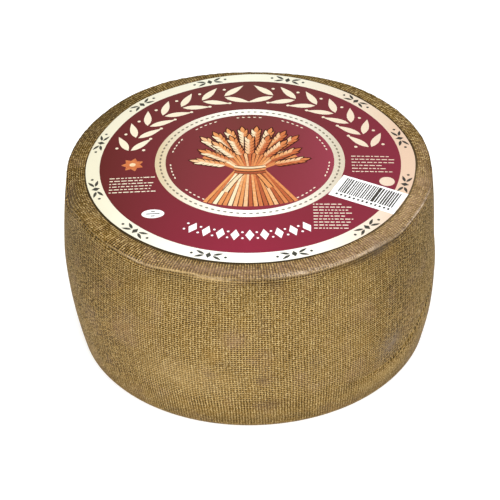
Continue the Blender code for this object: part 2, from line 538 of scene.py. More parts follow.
@dataclass(frozen=True)
class Wave:
    """An unevenness of the threads: its size, how far it moves them, and its seeds round and down."""

    size: float
    reach: float
    seeds: tuple[float, float]


@dataclass(frozen=True)
class ClothImprint:
    """How the cloth's imprint changes over the rind.

    A span is where a change starts and where it is complete: by the way up or down from the lip, or by
    the angle from the front. The depths are shares of the mean depth. Ribs are the threads' rows where
    they close over the holes, and frayed threads are of random heights.
    """

    shoulder_span: tuple[float, float] = (-1.0 * MM, 2.0 * MM)
    foot_span: tuple[float, float] = (72.0 * MM, 88.0 * MM)
    flank_span: tuple[float, float] = (28.0, 58.0)
    back_span: tuple[float, float] = (122.0, 152.0)
    lump_size: float = 9.0 * MM
    mean_depth: float = 0.9
    depth_spread: float = 0.25
    shoulder_gain: float = 0.25
    foot_loss: float = 0.72
    deepest: float = 1.7
    side_fray: float = 0.1
    shoulder_fray: float = 0.65
    shoulder_rib: float = 0.25
    lip_rib: float = 0.15
    lip_rib_width: float = 2.0 * MM
    foot_rib: float = 0.6

    def fields(
        self, places: Array, azimuth: Array, down: Array, marks: dict[MarkKind, Array]
    ) -> dict[str, Array]:
        """Work out the imprint at each point.

        Args:
            places: Where the even barrel has each point.
            azimuth: Each point's azimuth.
            down: Its way down from the lip.
            marks: How strong each kind of mark is there.

        Returns:
            The imprint's depth, how far the flanks' pattern holds, the fraying and the ribs.
        """
        near_foot = smooth_step(*self.foot_span, down)
        on_shoulder = smooth_step(*self.shoulder_span, -down)
        even = self.mean_depth + self.depth_spread * uneven(places, self.lump_size, 23.0)
        depth = (1.0 - marks[MarkKind.FAINT]) * even
        depth *= 1.0 + self.shoulder_gain * on_shoulder - self.foot_loss * near_foot + marks[MarkKind.DEEP]
        turned = np.abs(turn_between(azimuth, 0.0))
        aside = smooth_step(*self.flank_span, turned) * (1.0 - smooth_step(*self.back_span, turned))
        ribs = self.shoulder_rib * on_shoulder + self.lip_rib * bell(down, self.lip_rib_width)
        return {
            "imprint": np.clip(depth, 0.0, self.deepest),
            "aside": aside * (1.0 - on_shoulder),
            "fray": self.side_fray + self.shoulder_fray * on_shoulder,
            "rib": ribs + self.foot_rib * near_foot,
        }


@dataclass
class CheeseWheel:
    """The wheel of cheese: a low barrel whose rind bears the print of its cloth."""

    belly_radius: float = 99.0 * MM
    belly_height: float = 53.0 * MM
    lip_radius: float = 95.7 * MM
    lip_height: float = 98.0 * MM
    foot_radius: float = 93.0 * MM
    foot_rounding: float = 3.0 * MM
    crown_height: float = 102.2 * MM
    crown_drop: float = 2.2 * MM
    crown_drop_radius: float = 86.4 * MM
    shoulder_start: float = 87.5 * MM
    shoulder_fullness: float = 0.9
    path_points: tuple[int, int, int, int] = (200, 60, 400, 12)
    ovality: float = -0.006
    lean_heights: tuple[float, ...] = (0.0, 53.0 * MM, 98.0 * MM)
    leans: tuple[float, ...] = (1.5 * MM, -0.3 * MM, 0.3 * MM)
    lump_size: float = 45.0 * MM
    lump_height: float = 0.5 * MM
    lip_dips: tuple[Shift, ...] = (
        Shift(-80.0, 8.5 * MM, 9.0),
        Shift(-33.0, 1.3 * MM, 9.0),
        Shift(-20.0, -1.2 * MM, 14.0),
        Shift(53.0, 1.3 * MM, 6.0),
        Shift(86.0, 4.0 * MM, 9.0),
        Shift(100.0, 1.2 * MM, 8.0),
        Shift(138.0, -0.6 * MM, 16.0),
        Shift(172.0, 1.4 * MM, 18.0),
        Shift(-151.0, -0.6 * MM, 11.0),
        Shift(-132.0, -0.9 * MM, 16.0),
    )
    dip_reach: float = 25.0 * MM
    bead_height: float = 0.4 * MM
    bead_width: float = 1.0 * MM
    bead_inset: float = 0.4 * MM
    crease_depth: float = 0.7 * MM
    crease_width: float = 0.8 * MM
    crease_drop: float = 1.4 * MM
    lip_raggedness: float = 0.7
    lip_rag_size: float = 2.2 * MM
    folds: tuple[tuple[float, float], ...] = ((26.0, 88.0), (160.0, 212.0), (-126.0, -92.0))
    fold_fade: float = 12.0
    fold_height: float = 18.8 * MM
    fold_rises: tuple[Shift, ...] = (
        Shift(80.5, 19.0 * MM, 18.0),
        Shift(208.0, 7.0 * MM, 18.0),
        Shift(-96.0, 5.0 * MM, 12.0),
    )
    rise_reach: float = 32.0 * MM
    fold_depth: float = 0.7 * MM
    fold_width: float = 1.2 * MM
    band_swell: float = 0.6 * MM
    band_centre: float = 11.0 * MM
    band_width: float = 5.5 * MM

    columns: int = 402
    hidden_rows: tuple[float, ...] = (0.0, 0.45, 0.8)
    foot_rows: tuple[float, ...] = (0.25, 0.5, 0.75, 1.0)
    shoulder_rows: int = 8
    lip_rows: int = 5
    side_rows: int = 72
    lip_pitch: float = 1.18 * MM
    lip_zone_end: float = 3.4 * MM
    side_widening: float = 1.28
    drift_waves: tuple[Wave, ...] = (
        Wave(16.0 * MM, 0.45 * MM, (3.0, 11.0)),
        Wave(2.4 * MM, 0.12 * MM, (5.0, 13.0)),
    )
    drift_span: tuple[float, float] = (2.0 * MM, 8.0 * MM)
    pit_depth: float = 0.30 * MM
    least_pit: float = 0.45
    pit_join: float = 0.01
    imprint: ClothImprint = ClothImprint()
    inset: float = 0.05 * MM
    slope_step: float = 0.2 * MM
    join_distance: float = 0.02 * MM
    label_radius: float = 86.4 * MM
    label_offset: tuple[float, float] = (0.7 * MM, 1.3 * MM)
    label_edge: tuple[Shift, ...] = LABEL_EDGE
    # Painted shadow along the label's edge: where it fades out past the edge, and how strong it is
    label_shade: tuple[float, float] = (0.3 * MM, 1.0 * MM)
    label_shadow_strength: float = 2.0
    scatters: tuple[Scatter, ...] = (
        Scatter(MarkKind.PINK, 11.0 * MM, 0.16, 0.1, 31.0),
        Scatter(MarkKind.OCHRE, 8.0 * MM, 0.16, 0.15, 37.0),
        Scatter(MarkKind.GREY, 14.0 * MM, 0.12, 0.25, 41.0),
    )
    scatter_fade: float = 0.4
    seed: int = 7

    def crown(self, radius: Array) -> Array:
        """Return the height of the even dome at a distance from the axis."""
        return self.crown_height - self.crown_drop * (radius / self.crown_drop_radius) ** 2

    def side(self, height: Array) -> Array:
        """Return the even barrel's radius at a height between the floor and the lip."""
        above = (height - self.belly_height) / (self.lip_height - self.belly_height)
        below = 1.0 - height / self.belly_height
        upper = self.belly_radius - (self.belly_radius - self.lip_radius) * above**2
        lower = self.belly_radius - (self.belly_radius - self.foot_radius) * below**2
        return np.where(height > self.belly_height, upper, lower)

    def foot_start(self) -> float:
        """Return how far down from the lip the foot's rounding starts."""
        lengths, _, heights = self.path()
        return float(np.interp(-self.foot_rounding, -heights[lengths > 0.0], lengths[lengths > 0.0]))

    def path(self) -> tuple[Array, Array, Array]:
        """Trace the even barrel's outline from the crown's middle to the base's middle.

        Returns:
            The way down from the lip, the radius and the height of each point.
        """
        crown_points, shoulder_points, side_points, foot_points = self.path_points
        radii = np.linspace(0.0, self.shoulder_start, crown_points)
        crown = np.stack([radii, self.crown(radii)], 1)
        turn = np.linspace(0.0, TURN / 4, shoulder_points)[1:]
        start = float(self.crown(np.array(self.shoulder_start)))
        reach = self.lip_radius - self.shoulder_start
        shoulder = np.stack(
            [
                self.shoulder_start + reach * np.sin(turn) ** self.shoulder_fullness,
                start - (start - self.lip_height) * (1.0 - np.cos(turn)),
            ],
            1,
        )
        heights = np.linspace(self.lip_height, self.foot_rounding, side_points)[1:]
        side = np.stack([self.side(heights), heights], 1)
        foot_centre = side[-1, 0] - self.foot_rounding
        turn = np.linspace(0.0, TURN / 4, foot_points)[1:]
        foot = np.stack(
            [foot_centre + self.foot_rounding * np.cos(turn), self.foot_rounding * (1.0 - np.sin(turn))], 1
        )
        base = np.array([[0.0, 0.0]])
        points = np.concatenate([crown, shoulder, side, foot, base])
        steps = np.hypot(*np.diff(points, axis=0).T)
        lengths = np.concatenate([[0.0], np.cumsum(steps)])
        lip = len(crown) + len(shoulder) - 1
        return lengths - lengths[lip], points[:, 0], points[:, 1]

    def cloth_rows(self, foot: float) -> tuple[Array, Array]:
        """Say how far down from the lip the cloth's rows lie; on the side they widen towards the foot.

        Args:
            foot: How far down the foot's rounding starts.

        Returns:
            The distance of each edge between two rows, and its number, 0 at the lip zone's lower end.
        """
        above = np.arange(-(self.shoulder_rows + self.lip_rows), 0)
        pitches = np.linspace(1.0, self.side_widening, self.side_rows)
        side = np.cumsum(pitches) * (foot - self.lip_zone_end) / np.sum(pitches)
        below = np.concatenate([[0.0], side])
        edges = self.lip_zone_end + np.concatenate([above * self.lip_pitch, below])
        return edges, np.concatenate([above, np.arange(self.side_rows + 1)])

    def rows(self) -> tuple[Array, int, int]:
        """Say how far down from the lip each row of the net lies.

        Returns:
            The distances, and the first and the last row between which the rind bears the imprint.
        """
        lengths = self.path()[0]
        foot = self.foot_start()
        hidden = [lengths[0] + share * self.lip_radius for share in self.hidden_rows]
        edges, numbers = self.cloth_rows(foot)
        shoulder = edges[numbers < -self.lip_rows]
        lip = np.linspace(edges[self.shoulder_rows], self.lip_zone_end, 2 * self.lip_rows + 1)[:-1]
        side = edges[numbers >= 0][:-1]
        arc = self.foot_rounding * math.pi / 2
        under = [foot + arc * share for share in self.foot_rows]
        base = [0.5 * (under[-1] + lengths[-1]), lengths[-1]]
        rows = np.concatenate([hidden, shoulder, lip, side, under, base])
        return rows, len(hidden), len(rows) - len(base) - len(under) + 1

    def net_tree(self) -> bpy.types.NodeTree:
        """Build the tree that makes the cloth's net: a flat sheet of threads with a hole in each cell.

        Returns:
            The tree. Its sheet has one unit to a column and a row, and its relief in metres.
        """
        whole = ("Columns", "Rows", "First Woven Row", "Last Woven Row", "Seed")
        tree, add, given = new_tree(
            "cloth_net", {**dict.fromkeys(whole, "Int"), "Pit Depth": "Float", "Finish": "Material"}
        )
        columns, rows = given["Columns"], given["Rows"]
        across, along = (add(MATH, {0: count, 1: 1.0}, operation="ADD") for count in (columns, rows))
        sheet = add(
            "GeometryNodeMeshGrid",
            {"Size X": columns, "Size Y": rows, "Vertices X": across, "Vertices Y": along},
        )
        half = add(COMBINE, {0: columns, 1: rows})
        shift = add(VECTOR, {0: half, 1: (0.5, -0.5, 0.0)}, operation="MULTIPLY")
        sheet = add(SET_POSITION, {"Geometry": sheet, "Offset": shift})
        place = add("GeometryNodeInputPosition")
        down = add(SEPARATE, {0: place}).outputs["Y"]
        first, last = (
            add(MATH, {0: given[f"{name} Woven Row"], 1: -1.0}, operation="MULTIPLY")
            for name in ("First", "Last")
        )
        under = add(MATH, {0: down, 1: first}, operation="LESS_THAN")
        over = add(MATH, {0: down, 1: last}, operation="GREATER_THAN")
        woven = add(MATH, {0: under, 1: over}, operation="MULTIPLY")
        cells = add(
            "GeometryNodeExtrudeMesh",
            {"Mesh": sheet, "Selection": woven, "Offset Scale": 0.0, "Individual": True},
            mode="FACES",
        )
        top = cells.outputs["Top"]
        holes = add(
            STORE, {"Geometry": cells, "Name": "pit", "Value": top}, data_type="FLOAT", domain="POINT"
        )
        shrink = {"Geometry": holes, "Selection": top, "Scale": 0.0}
        holes = add("GeometryNodeScaleElements", shrink, domain="FACE")
        net = add(MERGE, {"Geometry": holes, "Distance": self.pit_join})
        count = {"Geometry": net, "Name": "threads", "Value": place}
        net = add(STORE, count, data_type="FLOAT2", domain="CORNER")
        spread = {2: self.least_pit, 3: 1.0, "Seed": given["Seed"]}
        chance = add("FunctionNodeRandomValue", spread, data_type="FLOAT").outputs[1]
        sunk = add("GeometryNodeInputNamedAttribute", {"Name": "pit"}, data_type="FLOAT")
        for factor in (given["Pit Depth"], chance, -1.0):
            sunk = add(MATH, {0: sunk, 1: factor}, operation="MULTIPLY")
        net = add(SET_POSITION, {"Geometry": net, "Offset": add(COMBINE, {2: sunk})})
        net = add(REALIZE, {"Geometry": net})
        net = add(SET_MATERIAL, {"Geometry": net, "Material": given["Finish"]})
        add("NodeGroupOutput", {0: net})
        return tree

    def threads_drift(self, places: Array, down: Array) -> tuple[Array, Array]:
        """Say how far the threads wander from straight columns and rows.

        Args:
            places: Where the even barrel has each point.
            down: Each point's way down from the lip.

        Returns:
            The drift round the wheel and the drift down it, in metres.
        """
        free = smooth_step(*self.drift_span, np.abs(down)) * (places[:, 2] > self.foot_rounding)
        round_, fall = (
            sum(wave.reach * uneven(places, wave.size, wave.seeds[way]) for wave in self.drift_waves)
            for way in (0, 1)
        )
        return round_ * free, fall * free

    def shifted_height(self, azimuth: Array, radius: Array, height: Array) -> Array:
        """Return each height after the lip's dips and the folds' rises have moved it.

        Args:
            azimuth: Each point's azimuth.
            radius: Its distance from the axis on the even barrel.
            height: Its height on the even barrel.

        Returns:
            The new heights.
        """
        dip, rise = shifts_at(azimuth, self.lip_dips), shifts_at(azimuth, self.fold_rises)
        outward = np.maximum(0.0, (radius - self.shoulder_start) / (self.lip_radius - self.shoulder_start))
        over_fold = bell(height - self.fold_height, self.rise_reach)
        under_fold = smooth_step(self.foot_rounding, self.fold_height, height)
        rise = rise * np.where(height > self.fold_height, over_fold, under_fold)
        above_foot = smooth_step(self.foot_rounding, self.lip_height / 2, height)
        fallen = dip * above_foot * bell(self.lip_height - height, self.dip_reach)
        return np.where(height >= self.lip_height, height - dip * outward**2, height + rise - fallen)

    def fold_strength(self, azimuth: Array) -> Array:
        """Return how deep the folds above the foot are at each azimuth, from 0 to 1."""
        strength = np.zeros_like(azimuth)
        for start, end in self.folds:
            offset = np.abs(turn_between(azimuth, (start + end) / 2))
            reach = (end - start) / 2
            strength = np.maximum(strength, 1.0 - smooth_step(reach - self.fold_fade, reach, offset))
        return strength

    def relief(self, places: Array, azimuth: Array, down: Array, radius: Array, height: Array) -> Array:
        """Work out the bead and crease along the lip, the folds above the foot and the lumps.

        Args:
            places: Where the even barrel has each point.
            azimuth: Each point's azimuth.
            down: Its way down from the lip.
            radius: Its distance from the axis.
            height: Its height.

        Returns:
            How far each point stands out.
        """
        ragged = 1.0 + self.lip_raggedness * uneven(places, self.lip_rag_size, 17.0)
        bead = self.bead_height * bell(down + self.bead_inset, self.bead_width) * ragged
        crease = self.crease_depth * bell(down - self.crease_drop, self.crease_width) * ragged
        groove = self.fold_depth * bell(height - self.fold_height, self.fold_width)
        swell = self.band_swell * bell(height - self.band_centre, self.band_width)
        lumps = self.lump_height * uneven(places, self.lump_size, 0.0)
        lumps *= smooth_step(self.shoulder_start, self.lip_radius, radius)
        total = bead - crease + self.fold_strength(azimuth) * (swell - groove) + lumps
        return total * smooth_step(0.0, 2.0 * self.foot_rounding, height)

    def on_barrel(self, angle: Array, down: Array) -> tuple[Array, Array, Array]:
        """Place points on the even barrel.

        Args:
            angle: Each point's azimuth in radians.
            down: Its way down from the lip.

        Returns:
            The places, their distances from the axis and their heights.
        """
        lengths, radii, heights = self.path()
        radius, height = np.interp(down, lengths, radii), np.interp(down, lengths, heights)
        return np.stack([radius * np.sin(angle), -radius * np.cos(angle), height], 1), radius, height

    def outward(self, down: Array) -> tuple[Array, Array]:
        """Find where the even barrel's surface faces.

        Args:
            down: Each point's way down from the lip.

        Returns:
            The outward and the upward share of each point's normal.
        """
        lengths, radii, heights = self.path()
        ahead, behind = down + self.slope_step, down - self.slope_step
        out = np.interp(ahead, lengths, radii) - np.interp(behind, lengths, radii)
        up = np.interp(ahead, lengths, heights) - np.interp(behind, lengths, heights)
        steep = np.maximum(np.hypot(out, up), TINY)
        return -up / steep, out / steep

    def wrap(self, net: bpy.types.Mesh, rows: Array, marks: tuple[Mark, ...]) -> None:
        """Wrap the flat net round the uneven wheel, close it and note its marks.

        Args:
            net: The flat net, changed in place.
            rows: How far down from the lip each row lies.
            marks: The marks on the rind.
        """
        flat = np.empty(len(net.vertices) * 3)
        net.vertices.foreach_get("co", flat)
        column, row, pressed = flat.reshape(-1, 3).T
        angle = np.radians(column / self.columns * 360.0 - 180.0)
        straight_down = np.interp(-row, np.arange(len(rows)), rows)
        places, _, _ = self.on_barrel(angle, straight_down)
        drift, fall = self.threads_drift(places, straight_down)
        angle += drift / self.belly_radius
        down = straight_down + fall
        azimuth = np.degrees(angle)
        places, radius, height = self.on_barrel(angle, down)
        normal_out, normal_up = self.outward(down)

        new_height = self.shifted_height(azimuth, radius, height)
        stretch = 1.0 + self.ovality * np.sin(2.0 * angle)
        on_side = (height > self.foot_rounding) & (height < self.lip_height)
        gain = (self.side(new_height) - self.side(height)) / np.maximum(radius, MM)
        stretch *= np.where(on_side, 1.0 + gain, 1.0)
        middle = np.interp(height, self.lean_heights, self.leans) * np.minimum(1.0, radius / self.foot_radius)
        strengths = self.marked(places, azimuth, down, marks)
        fields = self.imprint.fields(places, azimuth, down, strengths)
        out = self.relief(places, azimuth, down, radius, height) + pressed * fields["imprint"]
        out -= self.inset
        x = places[:, 0] * stretch + middle + normal_out * np.sin(angle) * out
        y = places[:, 1] * stretch - normal_out * np.cos(angle) * out
        z = np.maximum(0.0, new_height + normal_up * out * (height > 0.0))
        net.vertices.foreach_set("co", np.stack([x, y, z], 1).ravel())
        fields |= {kind.value: strength for kind, strength in strengths.items()}
        self.note(net, fields, straight_down)
        self.close(net)

    def marked(
        self, places: Array, azimuth: Array, down: Array, marks: tuple[Mark, ...]
    ) -> dict[MarkKind, Array]:
        """Add up the marks of each kind, those that are scattered and the painted shadow along the label's
        edge.

        Args:
            places: Where the even barrel has each point.
            azimuth: Each point's azimuth.
            down: Its way down from the lip.
            marks: The marks.

        Returns:
            How strong each kind is at each point.
        """
        strengths = {kind: np.zeros_like(azimuth) for kind in MarkKind}
        for mark in marks:
            across = bell(turn_between(azimuth, mark.azimuth), mark.half_turn)
            strengths[mark.kind] += mark.strength * across * bell(down - mark.down, mark.half_height)
        strengths = {kind: np.clip(strength, 0.0, 1.0) for kind, strength in strengths.items()}
        for scatter in self.scatters:
            spots = (uneven(places, scatter.size, scatter.seed) - scatter.rarity) / self.scatter_fade
            strengths[scatter.kind] += scatter.strength * np.clip(spots, 0.0, 1.0)
        # Painted shadow: the rind under the label and just past its edge is darkened
        across, back = places[:, 0] - self.label_offset[0], places[:, 1] - self.label_offset[1]
        edge = self.label_radius + shifts_at(np.degrees(np.arctan2(across, -back)), self.label_edge)
        under_label = 1.0 - smooth_step(*self.label_shade, np.hypot(across, back) - edge)
        under_label *= self.label_shadow_strength * (places[:, 2] > self.lip_height)
        strengths[MarkKind.PAINTED_SHADE] += under_label
        return strengths

    def note(self, net: bpy.types.Mesh, fields: dict[str, Array], down: Array) -> None:
        """Note the fields and the thread count on the wrapped net, for its finish.

        Args:
            net: The wrapped net, changed in place.
            fields: The value of each field at each point.
            down: Each point's way down from the lip before the threads drift.
        """
        threads = net.uv_layers["threads"].data
        counts, corners = np.empty(len(net.loops) * 2), np.empty(len(net.loops), dtype=np.int64)
        threads.foreach_get("uv", counts)
        net.loops.foreach_get("vertex_index", corners)
        counts[1::2] = np.interp(down, *self.cloth_rows(self.foot_start()))[corners]
        threads.foreach_set("uv", counts)
        for name, values in fields.items():
            attribute = net.attributes.new(name, "FLOAT", "POINT")
            attribute.data.foreach_set("value", values.astype(np.float32))
        net.attributes.remove(net.attributes["pit"])

    def close(self, net: bpy.types.Mesh) -> None:
        """Join the wrapped net's two ends and its points that meet on the axis."""
        shape = bmesh.new()
        shape.from_mesh(net)
        bmesh.ops.remove_doubles(shape, verts=shape.verts, dist=self.join_distance)
        shape.to_mesh(net)
        shape.free()
        net.shade_smooth()

    def build(self, finish: RindFinish, marks: tuple[Mark, ...]) -> bpy.types.Object:
        """Build the wheel in place of its CAD solid.

        Args:
            finish: The rind's finish.
            marks: The marks on the rind.

        Returns:
            The wheel.
        """
        rows, first, last = self.rows()
        blank = bpy.data.meshes.new("cloth_blank")
        net = grown(
            "pressed_rind",
            blank,
            self.net_tree(),
            {
                "Columns": self.columns,
                "Rows": len(rows) - 1,
                "First Woven Row": first,
                "Last Woven Row": last,
                "Pit Depth": self.pit_depth,
                "Seed": self.seed,
                "Finish": finish.material(),
            },
        )
        self.wrap(net, rows, marks)
        return finished("pressed_rind", net, "rind", "cheese_wheel")


# ---------------------------------------------------------------------------------------------
# The label
# ---------------------------------------------------------------------------------------------


@dataclass(frozen=True)
class PrintedInk:
    """Offset ink or paper coating, satin: an even colour whose cast shifts from side to side, a painted sheen
    and painted shade for how light and its reflection fall on each side.
    """

    name: str
    front: str
    back: str
    left: str
    right: str
    roughness: float = 0.45
    speckle_size: float = 0.35 * MM
    speckle: tuple[float, float] = (0.16, 0.92)
    reach: float = 80.0 * MM
    side_power: float = 1.2

    def material(self) -> bpy.types.Material:
        """Build the ink's material.

        Returns:
            The material, which reads Object coordinates.
        """
        material, shader, add = new_material(f"{self.name}_offset_ink")
        place = add("ShaderNodeTexCoord").outputs["Object"]
        # Painted sheen and shade: the colour blends from front to back and from left to right
        sides = add(SEPARATE, {0: place}).outputs
        span = {"From Min": -self.reach, "From Max": self.reach}
        behind, rightward = (add("ShaderNodeMapRange", {"Value": sides[axis], **span}) for axis in "YX")
        middle, flank = (
            add(MIX, {0: share, MIX_FROM: linear(low), MIX_TO: linear(high)}, data_type="RGBA")
            for share, low, high in ((behind, self.front, self.back), (rightward, self.left, self.right))
        )
        aside = add(MATH, {0: rightward, 1: 2.0, 2: -1.0}, operation="MULTIPLY_ADD")
        aside = add(MATH, {0: aside}, operation="ABSOLUTE")
        aside = add(MATH, {0: aside, 1: self.side_power}, operation="POWER")
        cast = {0: aside, MIX_FROM: middle.outputs[MIX_RESULT], MIX_TO: flank.outputs[MIX_RESULT]}
        colour = add(MIX, cast, data_type="RGBA").outputs[MIX_RESULT]
        shade = add(NOISE, {"Vector": place, "Scale": 1.0 / self.speckle_size, "Detail": 2.0})
        shade = add(MATH, {0: shade, 1: self.speckle[0], 2: self.speckle[1]}, operation="MULTIPLY_ADD")
        colour = add(VECTOR, {0: colour, "Scale": shade}, operation="SCALE")
        feed(shader, {"Base Color": colour, "Roughness": self.roughness, "Specular IOR Level": SPECULAR})
        return material


class Ink(Enum):
    """The paper's coating and the inks of the label's print."""

    # Each ink's front, back, left and right colours are painted sheen and shade: lighter or warmer where
    # light and its reflection fall, darker and browner at the back
    PAPER = PrintedInk("coated_paper", "#EBEBE3", "#D9D9C6", "#CEC9B1", "#C8AD96")
    IVORY = PrintedInk("ivory", "#EBEBE3", "#E6E6DE", "#BEAE8D", "#BCB29E", reach=47.0 * MM)
    BURGUNDY = PrintedInk("burgundy", "#7D2034", "#5C302A", "#541E1A", "#722333")
    GARNET = PrintedInk("garnet", "#7A2633", "#65312C", "#622828", "#833341", reach=44.0 * MM)
    CREAM = PrintedInk("cream", "#E4DCCB", "#D8CFB6", "#D6CCB2", "#C9B4A0")
    WHITE = PrintedInk("white", "#EBEBEB", "#E0E0DC", "#E6E6E4", "#EBEBEB")
    CHARCOAL = PrintedInk("charcoal", "#3A3A33", "#3A3A33", "#3A3830", "#38342F")
    STONE = PrintedInk("stone", "#6E6A60", "#6E6857", "#5E4C3C", "#7A705F")


def leaf(length: float, width: float, turn: float = 0.0, root: tuple[float, float] = (0.0, 0.0)) -> Polygon:
    """Outline a pointed leaf.

    Args:
        length: From root to tip.
        width: At its widest.
        turn: How far the tip leans from +Y towards +X, in radians.
        root: Where the leaf starts.

    Returns:
        The leaf's corners.
    """
    shares = [k / LEAF_STEPS for k in range(LEAF_STEPS + 1)]
    right = [(0.5 * width * math.sin(math.pi * share**LEAF_BELLY), share * length) for share in shares]
    left = [(-x, y) for x, y in reversed(right[1:-1])]
    sine, cosine = math.sin(turn), math.cos(turn)
    return [(root[0] + x * cosine + y * sine, root[1] - x * sine + y * cosine) for x, y in right + left]


def oval(width: float, height: float, middle: tuple[float, float] = (0.0, 0.0), sides: int = 24) -> Polygon:
    """Outline an oval, or with four sides a lozenge.

    Args:
        width: Its size along X.
        height: Its size along Y.
        middle: Its middle.
        sides: How many corners it has.

    Returns:
        The oval's corners.
    """
    turns = [TURN * k / sides for k in range(sides)]
    return [(middle[0] + 0.5 * width * math.cos(t), middle[1] + 0.5 * height * math.sin(t)) for t in turns]


def patch(corners: Polygon, columns: int, rows: int) -> list[Polygon]:
    """Divide a four-sided field into small ones, which can follow the dome.

    Args:
        corners: Its corners in turn.
        columns: How many fields lie along its first side.
        rows: How many lie along its second side.

    Returns:
        The small fields.
    """
    first, second, third, fourth = (np.array(corner) for corner in corners)
    across, down = np.linspace(0.0, 1.0, columns + 1), np.linspace(0.0, 1.0, rows + 1)
    upper = [first * (1 - a) + second * a for a in across]
    lower = [fourth * (1 - a) + third * a for a in across]
    grid = [[top * (1 - b) + bottom * b for top, bottom in zip(upper, lower)] for b in down]
    return [
        [tuple(grid[j][k]), tuple(grid[j][k + 1]), tuple(grid[j + 1][k + 1]), tuple(grid[j + 1][k])]
        for j in range(rows)
        for k in range(columns)
    ]


def stroke(points: Polygon, width: float, end_width: float | None = None) -> list[Polygon]:
    """Outline a pen stroke, one four-sided field for each stretch.

    Args:
        points: The stroke's middle line.
        width: How wide it starts.
        end_width: How wide it ends, if it isn't even.

    Returns:
        The fields.
    """
    line = np.array(points)
    along = np.gradient(line, axis=0)
    widths = np.linspace(width, width if end_width is None else end_width, len(line))
    across = np.stack([-along[:, 1], along[:, 0]], 1) / np.hypot(*along.T)[:, None] * 0.5 * widths[:, None]
    left, right = line + across, line - across
    return [
        [tuple(right[k]), tuple(right[k + 1]), tuple(left[k + 1]), tuple(left[k])]
        for k in range(len(line) - 1)
    ]


def ring(inner: float, outer: float, rows: int = 4, sides: int = 192) -> list[Polygon]:
    """Divide a ring about the label's middle into four-sided fields.

    Args:
        inner: Its inner radius; 0 makes it a disc.
        outer: Its outer radius.
        rows: How many fields lie between the two.
        sides: How many lie round it.

    Returns:
        The fields.
    """
    radii = np.linspace(inner, outer, rows + 1)
    turns = [TURN * k / sides for k in range(sides + 1)]
    fields = []
    for near, far in zip(radii, radii[1:]):
        for start, end in zip(turns, turns[1:]):
            corners = [(near, start), (far, start), (far, end), (near, end)]
            if near == 0.0:
                corners = corners[1:] + [(0.0, 0.0)]
            fields.append([(r * math.cos(t), r * math.sin(t)) for r, t in corners])
    return fields


@dataclass
class Motif:
    """Flat fields of a print, each with a tone and, where fields overlap, a layer of its own."""

    name: str
    fields: list[Polygon] = field(default_factory=list)
    tones: list[float] = field(default_factory=list)
    layers: list[int] = field(default_factory=list)
    layer_step: float = 0.003 * MM
    join_distance: float = 0.0002 * MM

    def add(self, fields: list[Polygon], tone: float = 0.5, layer: int = 0) -> None:
        """Add fields of one tone on one layer."""
        self.fields += fields
        self.tones += [tone] * len(fields)
        self.layers += [layer] * len(fields)

    def mesh(self) -> bpy.types.Mesh:
        """Fill the outlines with faces that look up.

        Returns:
            The mesh, with each face's tone in an attribute.
        """
        shape = bmesh.new()
        tone_of = shape.faces.layers.float.new("tone")
        for corners, tone, layer in zip(self.fields, self.tones, self.layers):
            face = shape.faces.new([shape.verts.new((x, y, layer * self.layer_step)) for x, y in corners])
            face[tone_of] = tone
            face.normal_update()
            if face.normal.z < 0.0:
                face.normal_flip()
        bmesh.ops.remove_doubles(shape, verts=shape.verts, dist=self.join_distance)
        bmesh.ops.triangulate(shape, faces=[face for face in shape.faces if len(face.verts) > 4])
        mesh = bpy.data.meshes.new(self.name)
        shape.to_mesh(mesh)
        shape.free()
        return mesh


@dataclass(frozen=True)
class Repeat:
    """How a motif is repeated round the label; angles in degrees, the first one an azimuth."""

    count: int = 1
    radius: float = 0.0
    first: float = 180.0
    step: float = 0.0


@dataclass(frozen=True)
class DashBlock:
    """A block of rows of dashes: its upper left corner, its width and how many rows it has.

    The shortest row is a share of the width, and the dashes' lengths go from the first to the second,
    in millimetres.
    """

    corner: tuple[float, float]
    width: float
    rows: int
    pitch: float = 2.5 * MM
    dash_height: float = 0.7 * MM
    dash_lengths: tuple[float, float] = (0.8, 3.0)
    gap: float = 0.7 * MM
    shortest_row: float = 0.55

    def fields(self, draw: np.random.Generator) -> list[Polygon]:
        """Outline the dashes.

        Args:
            draw: The source of their lengths.

        Returns:
            The outlines.
        """
        fields = []
        for row in range(self.rows):
            top = self.corner[1] - row * self.pitch
            start = self.corner[0]
            end = start + self.width * float(draw.uniform(self.shortest_row, 1.0))
            while start < end:
                length = float(draw.uniform(*self.dash_lengths)) * MM
                sides = (start, start + length)
                low = top - self.dash_height
                fields.append([(sides[0], low), (sides[1], low), (sides[1], top), (sides[0], top)])
                start += length + self.gap
        return fields


